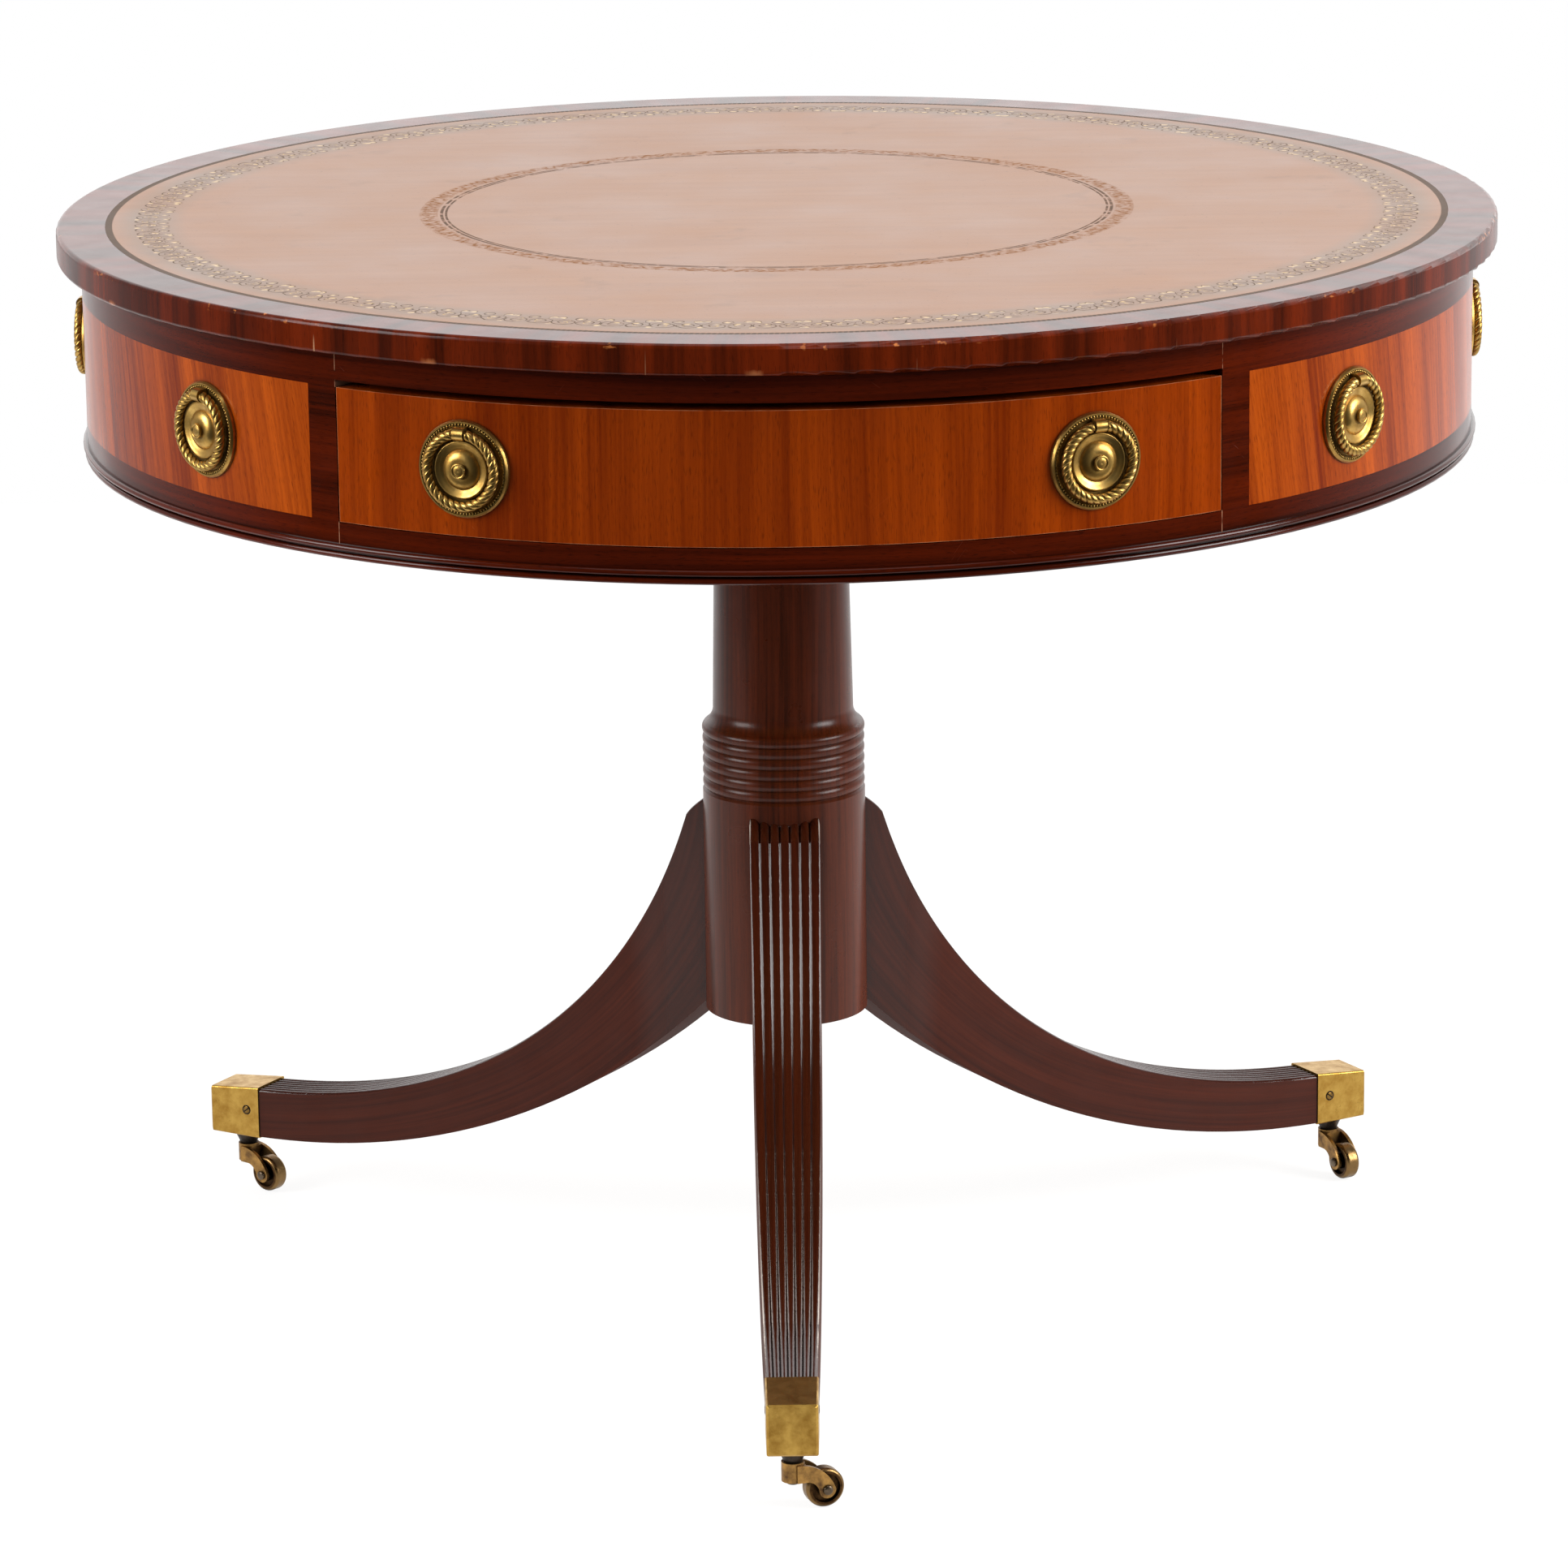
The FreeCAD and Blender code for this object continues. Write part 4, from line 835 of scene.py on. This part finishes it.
def make_pulls(metal):
    """Rope rings and plate ornament for every pull, placed by the joints that the rings swing on."""
    rows = {}
    ring = rope_ring()
    ornament = pull_ornament()
    for joint in frame["joints"]:
        if not joint["name"].endswith("_swing"):
            continue
        node = joint["child"]
        outward = outward_of(joint)
        pivot = Vector(joint["pos_m"])
        middle = pivot - Vector((0, 0, RING_RADIUS))
        tool = placed_copies(ring, [facing(outward, middle)])
        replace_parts(finish_piece(f"rope_{node}", tool, metal, joint["child"]), node)
        centre = middle - outward * RING_STAND_OFF
        front = node.rsplit("_ring_", 1)[0]
        rows.setdefault((front, joint["parent"]), []).append(facing(outward, centre))
    for (front, body), stands in rows.items():
        finish_piece(f"{front}_pull_ornament", placed_copies(ornament, stands), metal, body)
    bpy.data.meshes.remove(ring)
    bpy.data.meshes.remove(ornament)


def make_cap_screws(metal, dark_metal):
    """A screw in each side of each toe cap, in a dark seat."""
    tool = bmesh.new()
    seats = bmesh.new()
    seat_radius = CAP_SCREW_RADIUS * CAP_SCREW_SEAT_SHARE
    for heading in LEG_HEADINGS:
        along = Vector((math.cos(math.radians(heading)), math.sin(math.radians(heading)), 0))
        sideways = Vector((-along.y, along.x, 0))
        for sign in (-1, 1):
            normal = sideways * sign
            spot = along * CAP_SCREW_REACH + normal * CAP_SCREW_SIDE + Vector((0, 0, CAP_SCREW_FROM_FLOOR))
            y_axis = Vector((0, 0, 1)) * CAP_SCREW_SLOT_RISE + along * CAP_SCREW_SLOT_RUN
            x_axis = y_axis.cross(normal)
            turn = Matrix((x_axis, y_axis, normal)).transposed()
            stand = Matrix.Translation(spot) @ turn.to_4x4()
            cap_screw(tool, stand)
            bmesh.ops.create_cone(seats, cap_ends=True, segments=CAP_SCREW_SEGMENTS, radius1=seat_radius,
                                  radius2=seat_radius, depth=CAP_SCREW_HEIGHT, matrix=stand)
    finish_piece("cap_screws", tool, metal, "table")
    finish_piece("cap_screw_seats", seats, dark_metal, "table")


def make_axle_heads(metal):
    """Domed heads on both ends of each axle."""
    for joint in frame["joints"]:
        if not joint["name"].endswith("_spin"):
            continue
        side = joint["name"].split("_")[1]
        axis = Vector(joint["axis"]).normalized()
        pivot = Vector(joint["pos_m"])
        tool = bmesh.new()
        flat = Matrix.Diagonal((1, 1, AXLE_DOME_HEIGHT / AXLE_DOME_RADIUS, 1))
        for sign in (-1, 1):
            turn = (axis * sign).to_track_quat("Z", "Y").to_matrix().to_4x4()
            stand = Matrix.Translation(pivot + axis * sign * AXLE_DOME_REACH) @ turn
            bmesh.ops.create_uvsphere(tool, u_segments=20, v_segments=12, radius=AXLE_DOME_RADIUS,
                                      matrix=stand @ flat)
        finish_piece(f"axle_heads_{side}", tool, metal, joint["parent"])


# Which finish each CAD node gets.

def dress_nodes(woods, metals, leather):
    """Give every node its finish, by its own name or by its family's."""
    finishes = {
        "top_board": woods["rim"], "leather_top": leather, "base_moulding": woods["moulding"],
        "bottom_board": woods["inner_cross"], "drawer_bottom": woods["inner_cross"],
        "drawer_back": woods["inner_cross"], "drawer_stop": woods["inner_cross"],
        "column": woods["turned"], "column_block": woods["turned"],
        "drawer_front": woods["drawer"], "block_screws": metals["steel"], "caster_pivots": metals["iron"],
    }
    families = (
        ("front_", woods["rail"]), ("frieze_section_", woods["rail"]), ("dummy_veneer_", woods["dummy"]),
        ("drawer_", woods["inner"]), ("leg_", woods["leg"]), ("toe_cap_", metals["cap"]),
        ("caster_horn_", metals["horn"]),
    )
    for name, item in frame["nodes"].items():
        finish = finishes.get(name)
        if "_ring_" in name or name.endswith("_pull_plates"):
            finish = metals["pull"]
        elif name.startswith("caster_wheel_"):
            low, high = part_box(name)
            finish = make_wheel_bronze(name.replace("caster_wheel", "wheel_bronze"), (low + high) / 2,
                                       (high.z - low.z) / 2)
        for prefix, family in families:
            if finish is None and name.startswith(prefix):
                finish = family
        for slot in item.material_slots:
            slot.material = finish


# Stage.

def make_floor():
    """A pale floor that shows white, with the table's own shadow on it."""
    tool = bmesh.new()
    bmesh.ops.create_grid(tool, x_segments=8, y_segments=8, size=1.0)
    depth = FLOOR_BACK - FLOOR_FRONT
    bmesh.ops.scale(tool, verts=tool.verts, vec=(FLOOR_HALF_WIDTH, depth / 2, 1))
    bmesh.ops.translate(tool, verts=tool.verts, vec=(0, FLOOR_FRONT + depth / 2, -FLOOR_DROP))
    mesh = bpy.data.meshes.new("floor")
    tool.to_mesh(mesh)
    tool.free()
    floor = bpy.data.objects.new("floor", mesh)
    bpy.context.scene.collection.objects.link(floor)
    material, tree, shader = new_material("pale_floor")
    shader.inputs["Base Color"].default_value = FLOOR_COLOUR
    shader.inputs["Roughness"].default_value = 0.9
    glow = add_node(tree, "ShaderNodeEmission", {"Color": (1, 1, 1, 1), "Strength": FLOOR_GLOW_STRENGTH})
    mixed = add_node(tree, "ShaderNodeMixShader")
    plug(tree, mixed.inputs[0], seen_directly(tree) * FLOOR_GLOW_SHARE)
    plug(tree, mixed.inputs[1], shader.outputs[0])
    plug(tree, mixed.inputs[2], glow.outputs[0])
    plug(tree, tree.nodes["Material Output"].inputs["Surface"], mixed.outputs[0])
    mesh.materials.append(material)


def seen_directly(tree):
    """1 for what the camera, a reflection or glass sees."""
    path = add_node(tree, "ShaderNodeLightPath")
    camera = Field(tree, path.outputs["Is Camera Ray"])
    glossy = Field(tree, path.outputs["Is Glossy Ray"])
    return camera.most(glossy).most(Field(tree, path.outputs["Is Transmission Ray"]))


def make_world():
    """White behind the table and to its sides, a dark studio behind the camera, and an even soft fill."""
    world = bpy.data.worlds.new("studio")
    world.use_nodes = True
    bpy.context.scene.world = world
    tree = world.node_tree
    path = add_node(tree, "ShaderNodeLightPath")
    heading = add_node(tree, "ShaderNodeTexCoord").outputs["Generated"]
    parts = add_node(tree, "ShaderNodeSeparateXYZ", {"Vector": heading})
    across, deep = (Field(tree, parts.outputs[axis]) for axis in ("X", "Y"))
    brighter_right = across * STUDIO_RIGHT_LIFT + STUDIO_LEVEL
    mirrored = deep.between(*STUDIO_FADE) * brighter_right * (1 - STUDIO_DARK) + STUDIO_DARK
    glossy = Field(tree, path.outputs["Is Glossy Ray"])
    camera = Field(tree, path.outputs["Is Camera Ray"])
    direct = camera.most(Field(tree, path.outputs["Is Transmission Ray"]))
    level = (glossy * mirrored + glossy.inverse() * AMBIENT) * direct.inverse() + direct
    back = tree.nodes["Background"]
    back.inputs["Color"].default_value = (1, 1, 1, 1)
    plug(tree, back.inputs["Strength"], level)


def make_lights():
    """Softboxes for all, and the cards that only the front leg mirrors."""
    front_leg = bpy.data.collections.new("front_leg")
    front_leg.objects.link(frame["nodes"]["leg_front"])
    for name, box in (SOFTBOXES | LEG_CARDS).items():
        lamp = bpy.data.lights.new(name, "AREA")
        lamp.shape = "RECTANGLE"
        lamp.size, lamp.size_y = box["size"]
        lamp.energy = box["watts"]
        item = bpy.data.objects.new(name, lamp)
        item.location = box["place"]
        item.rotation_euler = (Vector(box["aim"]) - item.location).to_track_quat("-Z", "Y").to_euler()
        item.visible_camera = False
        if name in LEG_CARDS:
            lamp.color = CARD_COLOUR
            item.visible_diffuse = False
            item.light_linking.receiver_collection = front_leg
        bpy.context.scene.collection.objects.link(item)


def make_camera():
    """The photograph's view."""
    lens = bpy.data.cameras.new("camera")
    lens.sensor_width = CAMERA_SENSOR_MM
    lens.lens = CAMERA_LENS_MM
    camera = bpy.data.objects.new("camera", lens)
    tilt = Matrix.Rotation(math.pi / 2 - CAMERA_PITCH, 4, "X") @ Matrix.Rotation(-CAMERA_ROLL, 4, "Z")
    camera.matrix_world = Matrix.Translation(CAMERA_PLACE) @ tilt
    bpy.context.scene.collection.objects.link(camera)
    bpy.context.scene.camera = camera


woods = make_woods()
metals = make_metals()
dress_nodes(woods, metals, make_leather())
make_pulls(metals["pull"])
make_cap_screws(metals["screw"], metals["iron"])
make_axle_heads(metals["steel"])
make_floor()
make_world()
make_lights()
make_camera()
bpy.context.scene.view_settings.view_transform = "Standard"
